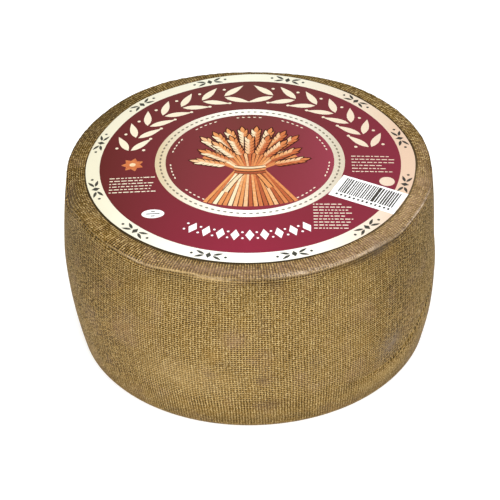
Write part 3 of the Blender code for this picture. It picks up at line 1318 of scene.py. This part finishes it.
@dataclass(frozen=True)
class BarStrip:
    """The white strip on the label's right, with upright bars: its lower left corner, size and turn."""

    corner: tuple[float, float] = (39.9 * MM, -31.2 * MM)
    length: float = 36.4 * MM
    height: float = 19.4 * MM
    turn: float = -26.6
    margin: float = 3.0 * MM
    bars_from: float = 4.6 * MM
    bars_to: float = 17.8 * MM
    bar_widths: tuple[float, ...] = (0.6 * MM, 0.7 * MM, 0.9 * MM, 1.7 * MM)
    gaps: tuple[float, ...] = (0.45 * MM, 0.55 * MM, 0.8 * MM)
    dash_pitch: float = 2.4 * MM
    dash_size: tuple[float, float] = (1.1 * MM, 1.6 * MM)
    dash_gap: float = 1.0 * MM

    def field(self, start: float, end: float, low: float, high: float) -> Polygon:
        """Outline a field of the strip by its start, end, lower and upper edge."""
        along = np.array([math.cos(math.radians(self.turn)), math.sin(math.radians(self.turn))])
        across = np.array([-along[1], along[0]])
        spots = ((start, low), (end, low), (end, high), (start, high))
        return [tuple(np.array(self.corner) + along * a + across * b) for a, b in spots]

    def fields(self) -> list[Polygon]:
        """Outline the white strip in short fields, which can follow the dome."""
        return patch(self.field(0.0, self.length, 0.0, self.height), 11, 6)

    def bars(self, draw: np.random.Generator) -> list[Polygon]:
        """Outline the bars and the row of dashes below them.

        Args:
            draw: The source of the bars' widths.

        Returns:
            The outlines.
        """
        fields = []
        start = self.margin
        while start < self.length - self.margin:
            end = start + float(draw.choice(self.bar_widths))
            fields += patch(self.field(start, end, self.bars_from, self.bars_to), 1, 3)
            start = end + float(draw.choice(self.gaps))
        for start in np.arange(self.margin, self.length - self.margin, self.dash_pitch):
            low = self.bars_from - self.dash_gap - self.dash_size[1]
            fields.append(self.field(start, start + self.dash_size[0], low, low + self.dash_size[1]))
        return fields


@dataclass
class PaperLabel:
    """The round coated-paper label, with its print as thin fields of ink on the domed paper."""

    radius: float = 86.4 * MM
    offset: tuple[float, float] = (0.7 * MM, 1.3 * MM)
    edge: tuple[Shift, ...] = LABEL_EDGE
    underside: float = 0.30 * MM
    paper_thickness: float = 0.15 * MM
    ink_thickness: float = 0.02 * MM
    ink_bite: float = 0.25
    join_distance: float = 0.0001 * MM
    edge_power: int = 8
    crown_height: float = 102.2 * MM
    crown_drop: float = 2.2 * MM
    field_outer: float = 79.0 * MM
    ring_outer: float = 49.8 * MM
    ring_inner: float = 44.2 * MM
    wreath_radius: float = 64.8 * MM
    dash_blocks: tuple[DashBlock, ...] = (
        DashBlock((-73.0 * MM, -12.6 * MM), 24.0 * MM, 6),
        DashBlock((53.2 * MM, 3.8 * MM), 22.0 * MM, 6, 2.8 * MM),
        DashBlock((31.8 * MM, -39.2 * MM), 23.0 * MM, 9),
    )
    strip: BarStrip = BarStrip()
    oval_middle: tuple[float, float] = (-49.8 * MM, -45.0 * MM)
    oval_size: tuple[float, float] = (11.6 * MM, 7.2 * MM)
    oval_dashes: tuple[tuple[float, float], ...] = (
        (1.0 * MM, 1.8 * MM),
        (3.4 * MM, 0.0),
        (1.0 * MM, -1.8 * MM),
    )
    disc_middle: tuple[float, float] = (70.8 * MM, -19.2 * MM)
    disc_size: tuple[float, float] = (8.0 * MM, 8.0 * MM)
    seed: int = 5

    def print_tree(self) -> bpy.types.NodeTree:
        """Build the tree that repeats a flat motif round the label and lays it on the dome as ink.

        Returns:
            The tree.
        """
        lengths = ("Radius", "First Turn", "Turn Step", "Crown Height", "Crown Curve", "Lift")
        kinds = {"Count": "Int", "Middle": "Vector", "Ink Thickness": "Float", "Finish": "Material"}
        tree, add, given = new_tree("dome_print", {**dict.fromkeys(lengths, "Float"), **kinds})
        index = add("GeometryNodeInputIndex")
        step = {0: index, 1: given["Turn Step"], 2: given["First Turn"]}
        turn = add(MATH, step, operation="MULTIPLY_ADD")
        sine, cosine = (add(MATH, {0: turn}, operation=name) for name in ("SINE", "COSINE"))
        spot = add(COMBINE, {0: sine, 1: cosine})
        spot = add(VECTOR, {0: spot, 1: (1.0, -1.0, 0.0)}, operation="MULTIPLY")
        spot = add(VECTOR, {0: spot, "Scale": given["Radius"]}, operation="SCALE")
        points = add("GeometryNodePoints", {"Count": given["Count"], "Position": spot})
        facing = add(MATH, {0: turn, 1: math.pi}, operation="ADD")
        rotation = add(COMBINE, {2: facing})
        motifs = add(
            "GeometryNodeInstanceOnPoints",
            {"Points": points, "Instance": given["Geometry"], "Rotation": rotation},
        )
        motifs = add(REALIZE, {"Geometry": motifs})
        motifs = add(SET_POSITION, {"Geometry": motifs, "Offset": given["Middle"]})
        level = add("GeometryNodeInputPosition")
        level = add(VECTOR, {0: level, 1: (1.0, 1.0, 0.0)}, operation="MULTIPLY")
        square = add(VECTOR, {0: level, 1: level}, operation="DOT_PRODUCT").outputs["Value"]
        fall = add(MATH, {0: square, 1: given["Crown Curve"]}, operation="MULTIPLY")
        top = add(MATH, {0: given["Crown Height"], 1: given["Lift"]}, operation="ADD")
        height = add(MATH, {0: top, 1: fall}, operation="SUBTRACT")
        laid = add(SET_POSITION, {"Geometry": motifs, "Offset": add(COMBINE, {2: height})})
        thickness = add(COMBINE, {2: given["Ink Thickness"]})
        raised = add(
            "GeometryNodeExtrudeMesh",
            {"Mesh": laid, "Offset": thickness, "Offset Scale": 1.0, "Individual": False},
            mode="FACES",
        )
        joined = add("GeometryNodeJoinGeometry")
        for part in (raised, add("GeometryNodeFlipFaces", {"Mesh": laid})):
            feed(joined, {0: part})
        closed = add(MERGE, {"Geometry": joined, "Distance": self.join_distance})
        closed = add(REALIZE, {"Geometry": closed})
        closed = add(SET_MATERIAL, {"Geometry": closed, "Material": given["Finish"]})
        add("NodeGroupOutput", {0: closed})
        return tree

    def laid(
        self,
        name: str,
        motif: Motif,
        finish: bpy.types.Material,
        lift: float,
        thickness: float,
        repeat: Repeat = Repeat(),
    ) -> bpy.types.Mesh:
        """Lay a motif on the crown's dome and give it its thickness.

        Args:
            name: The mesh's name.
            motif: The flat motif, with +Y towards the rim.
            finish: Its material.
            lift: How high over the dome its underside is.
            thickness: How thick it is.
            repeat: How it is repeated.

        Returns:
            The mesh.
        """
        mesh = grown(
            name,
            motif.mesh(),
            self.print_tree(),
            {
                "Count": repeat.count,
                "Radius": repeat.radius,
                "First Turn": math.radians(repeat.first),
                "Turn Step": math.radians(repeat.step),
                "Middle": (*self.offset, 0.0),
                "Crown Height": self.crown_height,
                "Crown Curve": self.crown_drop / self.radius**2,
                "Lift": lift,
                "Ink Thickness": thickness,
                "Finish": finish,
            },
        )
        self.settle(mesh)
        return mesh

    def settle(self, mesh: bpy.types.Mesh) -> None:
        """Let what lies near the paper's edge stray from a circle along the dome, as the edge does.

        Args:
            mesh: The paper or a print, changed in place.
        """
        flat = np.empty(len(mesh.vertices) * 3)
        mesh.vertices.foreach_get("co", flat)
        places = flat.reshape(-1, 3)
        across = places[:, :2] - np.array(self.offset)
        reach = np.maximum(np.hypot(*across.T), MM)
        stray = shifts_at(np.degrees(np.arctan2(across[:, 0], -across[:, 1])), self.edge)
        stray *= (reach / self.radius) ** self.edge_power
        moved = across * (1.0 + stray / reach)[:, None] + np.array(self.offset)
        curve = self.crown_drop / self.radius**2
        places[:, 2] -= curve * (np.sum(moved**2, 1) - np.sum(places[:, :2] ** 2, 1))
        places[:, :2] = moved
        mesh.vertices.foreach_set("co", places.ravel())

    def printed(
        self, motif: Motif, finish: bpy.types.Material, layer: int, repeat: Repeat = Repeat()
    ) -> bpy.types.Object:
        """Print a motif on the label.

        Args:
            motif: The flat motif, with +Y towards the rim.
            finish: The ink.
            layer: 0 for ink on the paper, 1 for ink on that ink, and so on.
            repeat: How it is repeated.

        Returns:
            The printed piece.
        """
        lift = self.underside + self.paper_thickness + (layer - self.ink_bite) * self.ink_thickness
        name = f"print_{motif.name}"
        return finished(name, self.laid(name, motif, finish, lift, self.ink_thickness, repeat), "label_paper")

    def paper(self, finish: bpy.types.Material) -> bpy.types.Object:
        """Make the paper itself, a thin domed disc, in place of its CAD solid."""
        disc = Motif("paper_disc")
        disc.add(ring(0.0, self.radius, 10, 256))
        mesh = self.laid("label_paper", disc, finish, self.underside, self.paper_thickness)
        return finished("label_paper", mesh, "label_paper", "paper_label")

    def build(self) -> list[bpy.types.Object]:
        """Make the paper and its print.

        Returns:
            The pieces.
        """
        inks = {ink: ink.value.material() for ink in Ink}
        field_ring, hoop, disc = Motif("burgundy_field"), Motif("ivory_hoop"), Motif("garnet_disc")
        field_ring.add(ring(self.ring_outer, self.field_outer))
        hoop.add(ring(self.ring_inner, self.ring_outer, 1))
        disc.add(ring(0.0, self.ring_inner, 5))
        return [
            self.paper(inks[Ink.PAPER]),
            self.printed(field_ring, inks[Ink.BURGUNDY], 0),
            self.printed(hoop, inks[Ink.IVORY], 0),
            self.printed(disc, inks[Ink.GARNET], 0),
            *self.wreath(inks),
            *self.borders(inks),
            *self.blocks(inks),
            *self.sheaf(GoldInk().material()),
        ]

    def wreath(self, inks: dict[Ink, bpy.types.Material]) -> list[bpy.types.Object]:
        """Print two laurel branches that meet at the back, and a festoon of lozenges in front.

        Args:
            inks: The inks.

        Returns:
            The pieces.
        """
        length, width, berry, dot = 15.0 * MM, 4.2 * MM, 1.8 * MM, 1.3 * MM
        pieces = []
        for side, name in ((1.0, "laurel_right"), (-1.0, "laurel_left")):
            turns = {0.7 * MM: -side * math.radians(56.0), -0.7 * MM: -side * math.radians(124.0)}
            berries = [(-side * 1.4 * MM, 7.4 * MM), (-side * 1.4 * MM, -7.4 * MM)]
            twig = Motif(name)
            twig.add([leaf(length, width, turn, (0.0, root)) for root, turn in turns.items()])
            twig.add([oval(berry, berry, middle, 10) for middle in berries])
            branch = Repeat(7, self.wreath_radius, side * 101.0, side * 11.2)
            pieces.append(self.printed(twig, inks[Ink.CREAM], 1, branch))
        festoon = Repeat(9, self.wreath_radius, -27.0, 6.6)
        lozenge = Motif("lozenges")
        lozenge.add([oval(4.6 * MM, 8.8 * MM, sides=4)])
        lozenge.add([oval(dot, dot, (3.7 * MM, side * 2.4 * MM), 10) for side in (-1.0, 1.0)])
        return [*pieces, self.printed(lozenge, inks[Ink.WHITE], 1, festoon)]

    def borders(self, inks: dict[Ink, bpy.types.Material]) -> list[bpy.types.Object]:
        """Print the small ornaments of the outer band, the beads of the ring and the kernels inside it.

        Args:
            inks: The inks.

        Returns:
            The pieces.
        """
        length, width, dot, root = 5.4 * MM, 1.6 * MM, 1.6 * MM, 2.3 * MM
        spray = Motif("sprays")
        spray.add([oval(3.0 * MM, 4.6 * MM, sides=4)])
        for side in (-1.0, 1.0):
            for rise, turn in ((0.3 * MM, 64.0), (-0.3 * MM, 116.0)):
                spray.add([leaf(length, width, side * math.radians(turn), (side * root, rise))])
            spray.add([oval(dot, dot, (side * 8.8 * MM, 0.0), 8)])
        bead, group = Motif("beads"), Motif("kernels")
        length = 2.3 * MM
        bead.add([leaf(length, 1.1 * MM, TURN / 4, (-length / 2, 0.0))])
        length, pitch = 1.9 * MM, 3.0 * MM
        kernels = self.ring_inner - 2.6 * MM
        for x in (pitch * step for step in range(-2, 3)):
            group.add([leaf(length, 0.8 * MM, TURN / 4, (x - length / 2, -0.5 * x * x / kernels))])
        band = 0.5 * (self.field_outer + self.radius)
        hoop = 0.5 * (self.ring_outer + self.ring_inner)
        return [
            self.printed(spray, inks[Ink.CHARCOAL], 0, Repeat(12, band, 15.0, 30.0)),
            self.printed(bead, inks[Ink.STONE], 1, Repeat(88, hoop, 0.0, 360.0 / 88)),
            self.printed(group, inks[Ink.CREAM], 1, Repeat(9, kernels, 44.0, 34.0)),
        ]

    def blocks(self, inks: dict[Ink, bpy.types.Material]) -> list[bpy.types.Object]:
        """Print the blocks of dashes, the white oval, the cream disc and the white strip with its bars.

        Args:
            inks: The inks.

        Returns:
            The pieces.
        """
        draw = np.random.default_rng(self.seed)
        dashes, patches, disc, bars = (Motif(name) for name in ("dashes", "strip", "disc", "bars"))
        for block in self.dash_blocks:
            dashes.add(block.fields(draw))
        x, middle = self.oval_middle
        patches.add(self.strip.fields())
        patches.add([oval(*self.oval_size, self.oval_middle, 32)])
        disc.add([oval(*self.disc_size, self.disc_middle)])
        bars.add(self.strip.bars(draw))
        for half, rise in self.oval_dashes:
            y = middle + rise
            bars.add(stroke([(x - half, y), (x, y), (x + half, y)], 0.7 * MM))
        return [
            self.printed(dashes, inks[Ink.CREAM], 1),
            self.printed(patches, inks[Ink.WHITE], 1),
            self.printed(disc, inks[Ink.CREAM], 1),
            self.printed(bars, inks[Ink.CHARCOAL], 2),
        ]

    def sheaf(self, finish: bpy.types.Material) -> list[bpy.types.Object]:
        """Print the sheaf of wheat in the label's middle and a small rosette at the left, in gold.

        Args:
            finish: The gold ink.

        Returns:
            The pieces.
        """
        rosette = Motif("rosette")
        rosette.add([leaf(6.0 * MM, 3.6 * MM, TURN * k / 7) for k in range(7)], 0.55)
        rosette.add([oval(3.2 * MM, 3.2 * MM)], 0.95, 1)
        return [
            self.printed(WheatSheaf().motif(), finish, 1),
            self.printed(rosette, finish, 1, Repeat(1, 61.5 * MM, -89.0)),
        ]


@dataclass(frozen=True)
class EarRow:
    """A row of ears: how many, how far it fans out in degrees, where it starts and its lowest layer."""

    ears: int
    fan: float
    reach: float
    layer: int


@dataclass(frozen=True)
class WheatSheaf:
    """A full sheaf of wheat tied round its middle, as shaded flat fields lit from the left."""

    tie_height: float = -8.0 * MM
    waist: float = 7.0 * MM
    straws: int = 19
    straw_width: tuple[float, float] = (0.9 * MM, 2.1 * MM)
    straw_tone: float = 0.70
    straw_shade: float = 0.16
    straw_spread: tuple[float, float] = (-0.30, 0.26)
    fans: tuple[tuple[float, float], ...] = ((56.0, 21.0 * MM), (30.0, -33.0 * MM))
    rows: tuple[EarRow, ...] = (EarRow(8, 40.0, 21.0 * MM, 4), EarRow(9, 74.0, 13.5 * MM, 18))
    ear_tone: float = 0.68
    ear_shade: float = 0.14
    ear_spread: tuple[float, float] = (-0.08, 0.08)
    kernel: tuple[float, float] = (7.0 * MM, 3.6 * MM)
    kernel_core: tuple[float, float] = (0.86, 0.66)
    splay: float = 0.42
    side_light: float = 0.17
    tip_light: float = 0.03
    dark: float = 0.04
    ground: float = 0.06
    kernel_pairs: int = 5
    kernel_pitch: float = 2.7 * MM
    seed: int = 3

    def ear(self, motif: Motif, root: Array, angle: float, layer: int, shine: float) -> None:
        """Add an ear: kernels in pairs, each over its dark edge and the pair below, and one at the tip.

        Args:
            motif: What it is added to.
            root: Where the ear starts.
            angle: How far it leans to the right, in radians.
            layer: Its lowest layer.
            shine: How light it is.
        """
        along = np.array([math.sin(angle), math.cos(angle)])
        for pair in range(self.kernel_pairs + 1):
            spot = tuple(root + along * self.kernel_pitch * pair)
            turns = (-self.splay, self.splay) if pair < self.kernel_pairs else (0.0,)
            for turn in turns:
                light = shine - self.side_light * math.copysign(1.0, turn) + self.tip_light * pair
                length, width = self.kernel
                motif.add([leaf(length, width, angle + turn, spot)], self.dark, layer + 2 * pair)
                length, width = length * self.kernel_core[0], width * self.kernel_core[1]
                motif.add([leaf(length, width, angle + turn, spot)], light, layer + 2 * pair + 1)

    def spray(self, motif: Motif, fan: float, reach: float, draw: np.random.Generator) -> None:
        """Add straws that spread from the tie over a dark ground.

        Args:
            motif: What they are added to.
            fan: How far the outermost ones lean, in degrees.
            reach: How far they go, upwards or, if less than 0, downwards.
            draw: The source of their tones.
        """
        shares = np.linspace(-1.0, 1.0, self.straws)
        angles = np.radians(fan * shares)
        starts = np.stack([self.waist * shares, np.full(self.straws, self.tie_height)], 1)
        ends = starts + np.stack([abs(reach) * np.sin(angles), reach * np.cos(angles)], 1)
        steps = np.linspace(0.0, 1.0, 8)[:, None]
        for k, share in enumerate(shares):
            tone = self.straw_tone - self.straw_shade * share + float(draw.uniform(*self.straw_spread))
            line = starts[k] * (1.0 - steps) + ends[k] * steps
            motif.add(stroke([tuple(point) for point in line], *self.straw_width), tone, 1 + k % 3)
            if k > 0:
                motif.add(patch([starts[k - 1], starts[k], ends[k], ends[k - 1]], 1, 8), self.ground)

    def tie(self, motif: Motif) -> None:
        """Add the band round the sheaf and its two loose ends.

        Args:
            motif: What it is added to.
        """
        for end, tone in (((-13.0, -20.0), 0.95), ((10.5, -17.0), 0.70)):
            shares = np.linspace(0.0, 1.0, 7)
            line = [(end[0] * MM * a, self.tie_height + end[1] * MM * a**1.4) for a in shares]
            motif.add(stroke(line, 2.2 * MM, 3.6 * MM), self.dark, 5)
            motif.add(stroke(line, 1.3 * MM, 2.6 * MM), tone, 6)
        half = self.waist + 1.2 * MM
        sides = np.linspace(-half, half, 11)
        for rise, tone in ((-2.4, 0.35), (0.0, 0.66), (2.4, 0.95)):
            bow = [(x, self.tie_height + (rise - 1.4 * (1.0 - (x / half) ** 2)) * MM) for x in sides]
            motif.add(stroke(bow, 2.5 * MM), self.dark, 7)
            motif.add(stroke(bow, 1.7 * MM), tone, 8)

    def motif(self) -> Motif:
        """Put the sheaf together.

        Returns:
            The motif.
        """
        draw = np.random.default_rng(self.seed)
        sheaf = Motif("sheaf")
        for fan, reach in self.fans:
            self.spray(sheaf, fan, reach, draw)
        for row in self.rows:
            for number in range(row.ears):
                share = 2.0 * number / (row.ears - 1) - 1.0
                angle = math.radians(row.fan * share)
                root = np.array([row.reach * math.sin(angle), self.tie_height + row.reach * math.cos(angle)])
                shine = self.ear_tone - self.ear_shade * share + float(draw.uniform(*self.ear_spread))
                self.ear(sheaf, root, angle, row.layer + number % 2, shine)
        self.tie(sheaf)
        return sheaf


@dataclass(frozen=True)
class GoldInk:
    """Brown, orange and yellow inks overprinted in offset: gilded straw with umber in its shadows."""

    stops: tuple[tuple[float, str], ...] = (
        (0.05, "#34120C"),
        (0.25, "#7A3524"),
        (0.5, "#B05E36"),
        (0.75, "#CB8B54"),
        (1.0, "#DCCAA8"),
    )
    roughness: float = 0.45
    straw_size: float = 1.6 * MM
    streak_share: float = 0.3

    def material(self) -> bpy.types.Material:
        """Build the ink's material.

        Returns:
            The material, which reads each field's tone and Object coordinates.
        """
        material, shader, add = new_material("gold_offset_ink")
        place = add("ShaderNodeTexCoord").outputs["Object"]
        streaks = add(NOISE, {"Vector": place, "Scale": 1.0 / self.straw_size, "Detail": 3.0})
        tone = add(ATTRIBUTE, attribute_name="tone").outputs["Fac"]
        tone = add(MATH, {0: tone, 1: 0.5 * self.streak_share}, operation="SUBTRACT")
        tone = add(MATH, {0: streaks, 1: self.streak_share, 2: tone}, operation="MULTIPLY_ADD")
        colour = add("ShaderNodeValToRGB", {0: tone})
        set_stops(colour, self.stops)
        feed(shader, {"Base Color": colour, "Roughness": self.roughness, "Specular IOR Level": SPECULAR})
        return material


# ---------------------------------------------------------------------------------------------
# The studio
# ---------------------------------------------------------------------------------------------


@dataclass(frozen=True)
class Softbox:
    """A square soft light: where it stands, its side and its power in watts."""

    name: str
    place: tuple[float, float, float]
    side: float
    power: float


@dataclass
class Studio:
    """A plain pale floor, soft light from all round and a camera at the photograph's angle."""

    camera_elevation: float = 36.61
    camera_distance: float = 1.250
    camera_roll: float = -0.93
    aim_height: float = 45.0 * MM
    lens_in_frames: float = 2322.5 / 500.0
    sensor: float = 36.0
    floor_side: float = 8.0
    floor_colour: str = "#D6D6D5"
    floor_glow: float = 0.50
    floor_roughness: float = 0.9
    sky_strength: float = 0.25
    softboxes: tuple[Softbox, ...] = (
        Softbox("front_light", (0.0, -2.0, 1.4), 1.0, 29.0),
        Softbox("left_light", (-1.1, -1.7, 1.4), 1.0, 22.7),
        Softbox("right_light", (1.6, 0.1, 1.6), 1.0, 12.7),
        Softbox("top_light", (0.0, 0.0, 2.0), 1.0, 19.4),
        Softbox("near_light", (0.1, -0.45, 0.6), 0.3, 1.44),
    )

    def camera(self) -> None:
        """Set up the camera."""
        lift = math.radians(self.camera_elevation)
        data = bpy.data.cameras.new("photo_camera")
        data.sensor_width = self.sensor
        data.lens = self.lens_in_frames * self.sensor
        camera = bpy.data.objects.new("photo_camera", data)
        bpy.context.scene.collection.objects.link(camera)
        away = self.camera_distance * math.cos(lift)
        above = self.aim_height + self.camera_distance * math.sin(lift)
        camera.matrix_world = (
            Matrix.Translation((0.0, -away, above))
            @ Matrix.Rotation(math.pi / 2 - lift, 4, "X")
            @ Matrix.Rotation(math.radians(self.camera_roll), 4, "Z")
        )
        bpy.context.scene.camera = camera

    def floor(self) -> None:
        """Lay the floor: white acrylic lit from below, which keeps the shadow at the foot faint."""
        shape = bmesh.new()
        bmesh.ops.create_grid(shape, x_segments=1, y_segments=1, size=self.floor_side / 2)
        mesh = bpy.data.meshes.new("floor")
        shape.to_mesh(mesh)
        shape.free()
        material, shader, _ = new_material("backlit_white_acrylic")
        feed(
            shader,
            {
                "Base Color": linear(self.floor_colour),
                "Roughness": self.floor_roughness,
                "Emission Color": linear("#FFFFFF"),
                "Emission Strength": self.floor_glow,
            },
        )
        mesh.materials.append(material)
        floor = bpy.data.objects.new("floor", mesh)
        bpy.context.scene.collection.objects.link(floor)

    def light(self) -> None:
        """Set up the sky and the softboxes."""
        world = bpy.data.worlds.new("studio")
        world.use_nodes = True
        background = world.node_tree.nodes["Background"]
        background.inputs["Color"].default_value = linear("#FFFFFF")
        background.inputs["Strength"].default_value = self.sky_strength
        bpy.context.scene.world = world
        target = Vector((0.0, 0.0, self.aim_height))
        for box in self.softboxes:
            data = bpy.data.lights.new(box.name, "AREA")
            data.energy = box.power
            data.size = box.side
            light = bpy.data.objects.new(box.name, data)
            bpy.context.scene.collection.objects.link(light)
            place = Vector(box.place)
            aim = (target - place).to_track_quat("-Z", "Y").to_matrix().to_4x4()
            light.matrix_world = Matrix.Translation(place) @ aim

    def build(self) -> None:
        """Set up the whole studio."""
        self.camera()
        self.floor()
        self.light()
        bpy.context.scene.view_settings.view_transform = "Standard"


# For each kind, the marks' azimuth, way down in mm, half turn, half height in mm, and strength
RIND_MARKS = tuple(
    Mark(kind, azimuth, down * MM, half_turn, half_height * MM, strength)
    for kind, rows in {
        # Painted shade: bands under the lip and at the foot, darker flanks and shoulders, the fold above the
        # foot and the creases under the lip
        MarkKind.PAINTED_SHADE: (
            (0.0, 7.0, 75.0, 8.0, 0.16),
            (0.0, 40.0, 90.0, 60.0, 0.06),
            (-60.0, 20.0, 15.0, 18.0, 0.38),
            (55.0, 24.0, 12.0, 30.0, 0.28),
            (-78.0, -6.0, 19.0, 6.0, 0.34),
            (-122.0, -5.0, 18.0, 8.0, 0.72),
            (180.0, -4.0, 40.0, 8.0, 0.40),
            (32.0, 80.0, 8.0, 8.0, 0.20),
            (-25.0, 2.8, 7.0, 1.6, 0.40),
            (38.0, 2.0, 18.0, 1.3, 0.60),
            (4.0, 95.0, 90.0, 8.0, 0.42),
        ),
        MarkKind.DEEP: (
            (6.5, 2.8, 3.5, 3.2, 0.80),
            (-2.0, 3.4, 5.0, 2.6, 0.50),
            (30.0, 3.0, 20.0, 2.4, 0.40),
            (-15.0, 3.4, 12.0, 2.4, 0.35),
        ),
        MarkKind.STAIN: (
            (6.5, 3.2, 2.6, 2.4, 0.50),
            (0.5, 2.8, 2.0, 1.5, 0.30),
            # This one lies in the crease under the lip's bead and is painted shade
            (33.0, 2.8, 11.0, 1.5, 0.45),
            (2.7, 63.0, 1.6, 2.4, 0.60),
            (-12.6, 60.0, 2.0, 2.0, 0.35),
            (-9.3, 52.5, 2.5, 2.0, 0.35),
            (4.5, 80.5, 4.0, 4.0, 0.50),
            (17.5, 17.5, 0.7, 1.0, 1.00),
        ),
        # The first three are painted light, a lighter middle of the side and lighter shoulders; the last two
        # are pale spots of wear along the lip
        MarkKind.WORN_AND_PAINTED_LIGHT: (
            (-20.0, 64.0, 16.0, 10.0, 0.20),
            (68.0, -6.0, 24.0, 7.0, 0.20),
            (-10.0, -5.0, 20.0, 6.0, 0.08),
            (-23.0, 0.2, 8.0, 0.7, 0.90),
            (-12.0, 1.5, 6.0, 1.2, 0.70),
        ),
        # The first three lie along the lip's bead on the right and are a painted highlight on it; the last
        # two are pale spots along the lip
        MarkKind.PALE_AND_HIGHLIGHT: (
            (13.0, -0.9, 9.0, 1.3, 0.60),
            (33.0, -0.7, 13.0, 1.2, 0.75),
            (66.0, -0.4, 11.0, 0.6, 1.20),
            (-36.0, 0.0, 8.0, 0.8, 0.40),
            (-11.0, 1.0, 5.5, 0.9, 0.50),
        ),
        MarkKind.PINK: (
            (28.0, -5.0, 34.0, 5.0, 0.50),
            (72.0, -5.0, 26.0, 7.0, 0.40),
            (-16.0, -4.0, 15.0, 4.0, 0.50),
            (-4.7, 36.0, 4.0, 6.0, 0.30),
            (-40.1, 46.0, 5.0, 8.0, 0.30),
        ),
        MarkKind.GREY: ((47.3, 67.0, 5.0, 8.0, 0.70), (42.8, 1.0, 5.0, 3.0, 0.80)),
        MarkKind.OCHRE: (
            (-11.5, 47.0, 3.0, 5.0, 0.40),
            (29.3, 3.0, 4.0, 3.0, 0.50),
            (47.1, 7.0, 4.0, 4.0, 0.50),
        ),
        MarkKind.FAINT: ((46.0, 86.0, 12.0, 5.0, 0.60), (-60.0, -4.0, 20.0, 8.0, 0.55)),
    }.items()
    for azimuth, down, half_turn, half_height, strength in rows
)


def main() -> None:
    """Build the wheel, its label and the studio, and report each piece."""
    logging.basicConfig(level=logging.INFO, format="%(name)s %(message)s")
    pieces = [CheeseWheel().build(RindFinish(), RIND_MARKS), *PaperLabel().build()]
    Studio().build()
    for piece in pieces:
        LOG.info("%s: %d triangles", piece.name, sum(len(face.vertices) - 2 for face in piece.data.polygons))


if __name__ == "__main__":
    main()
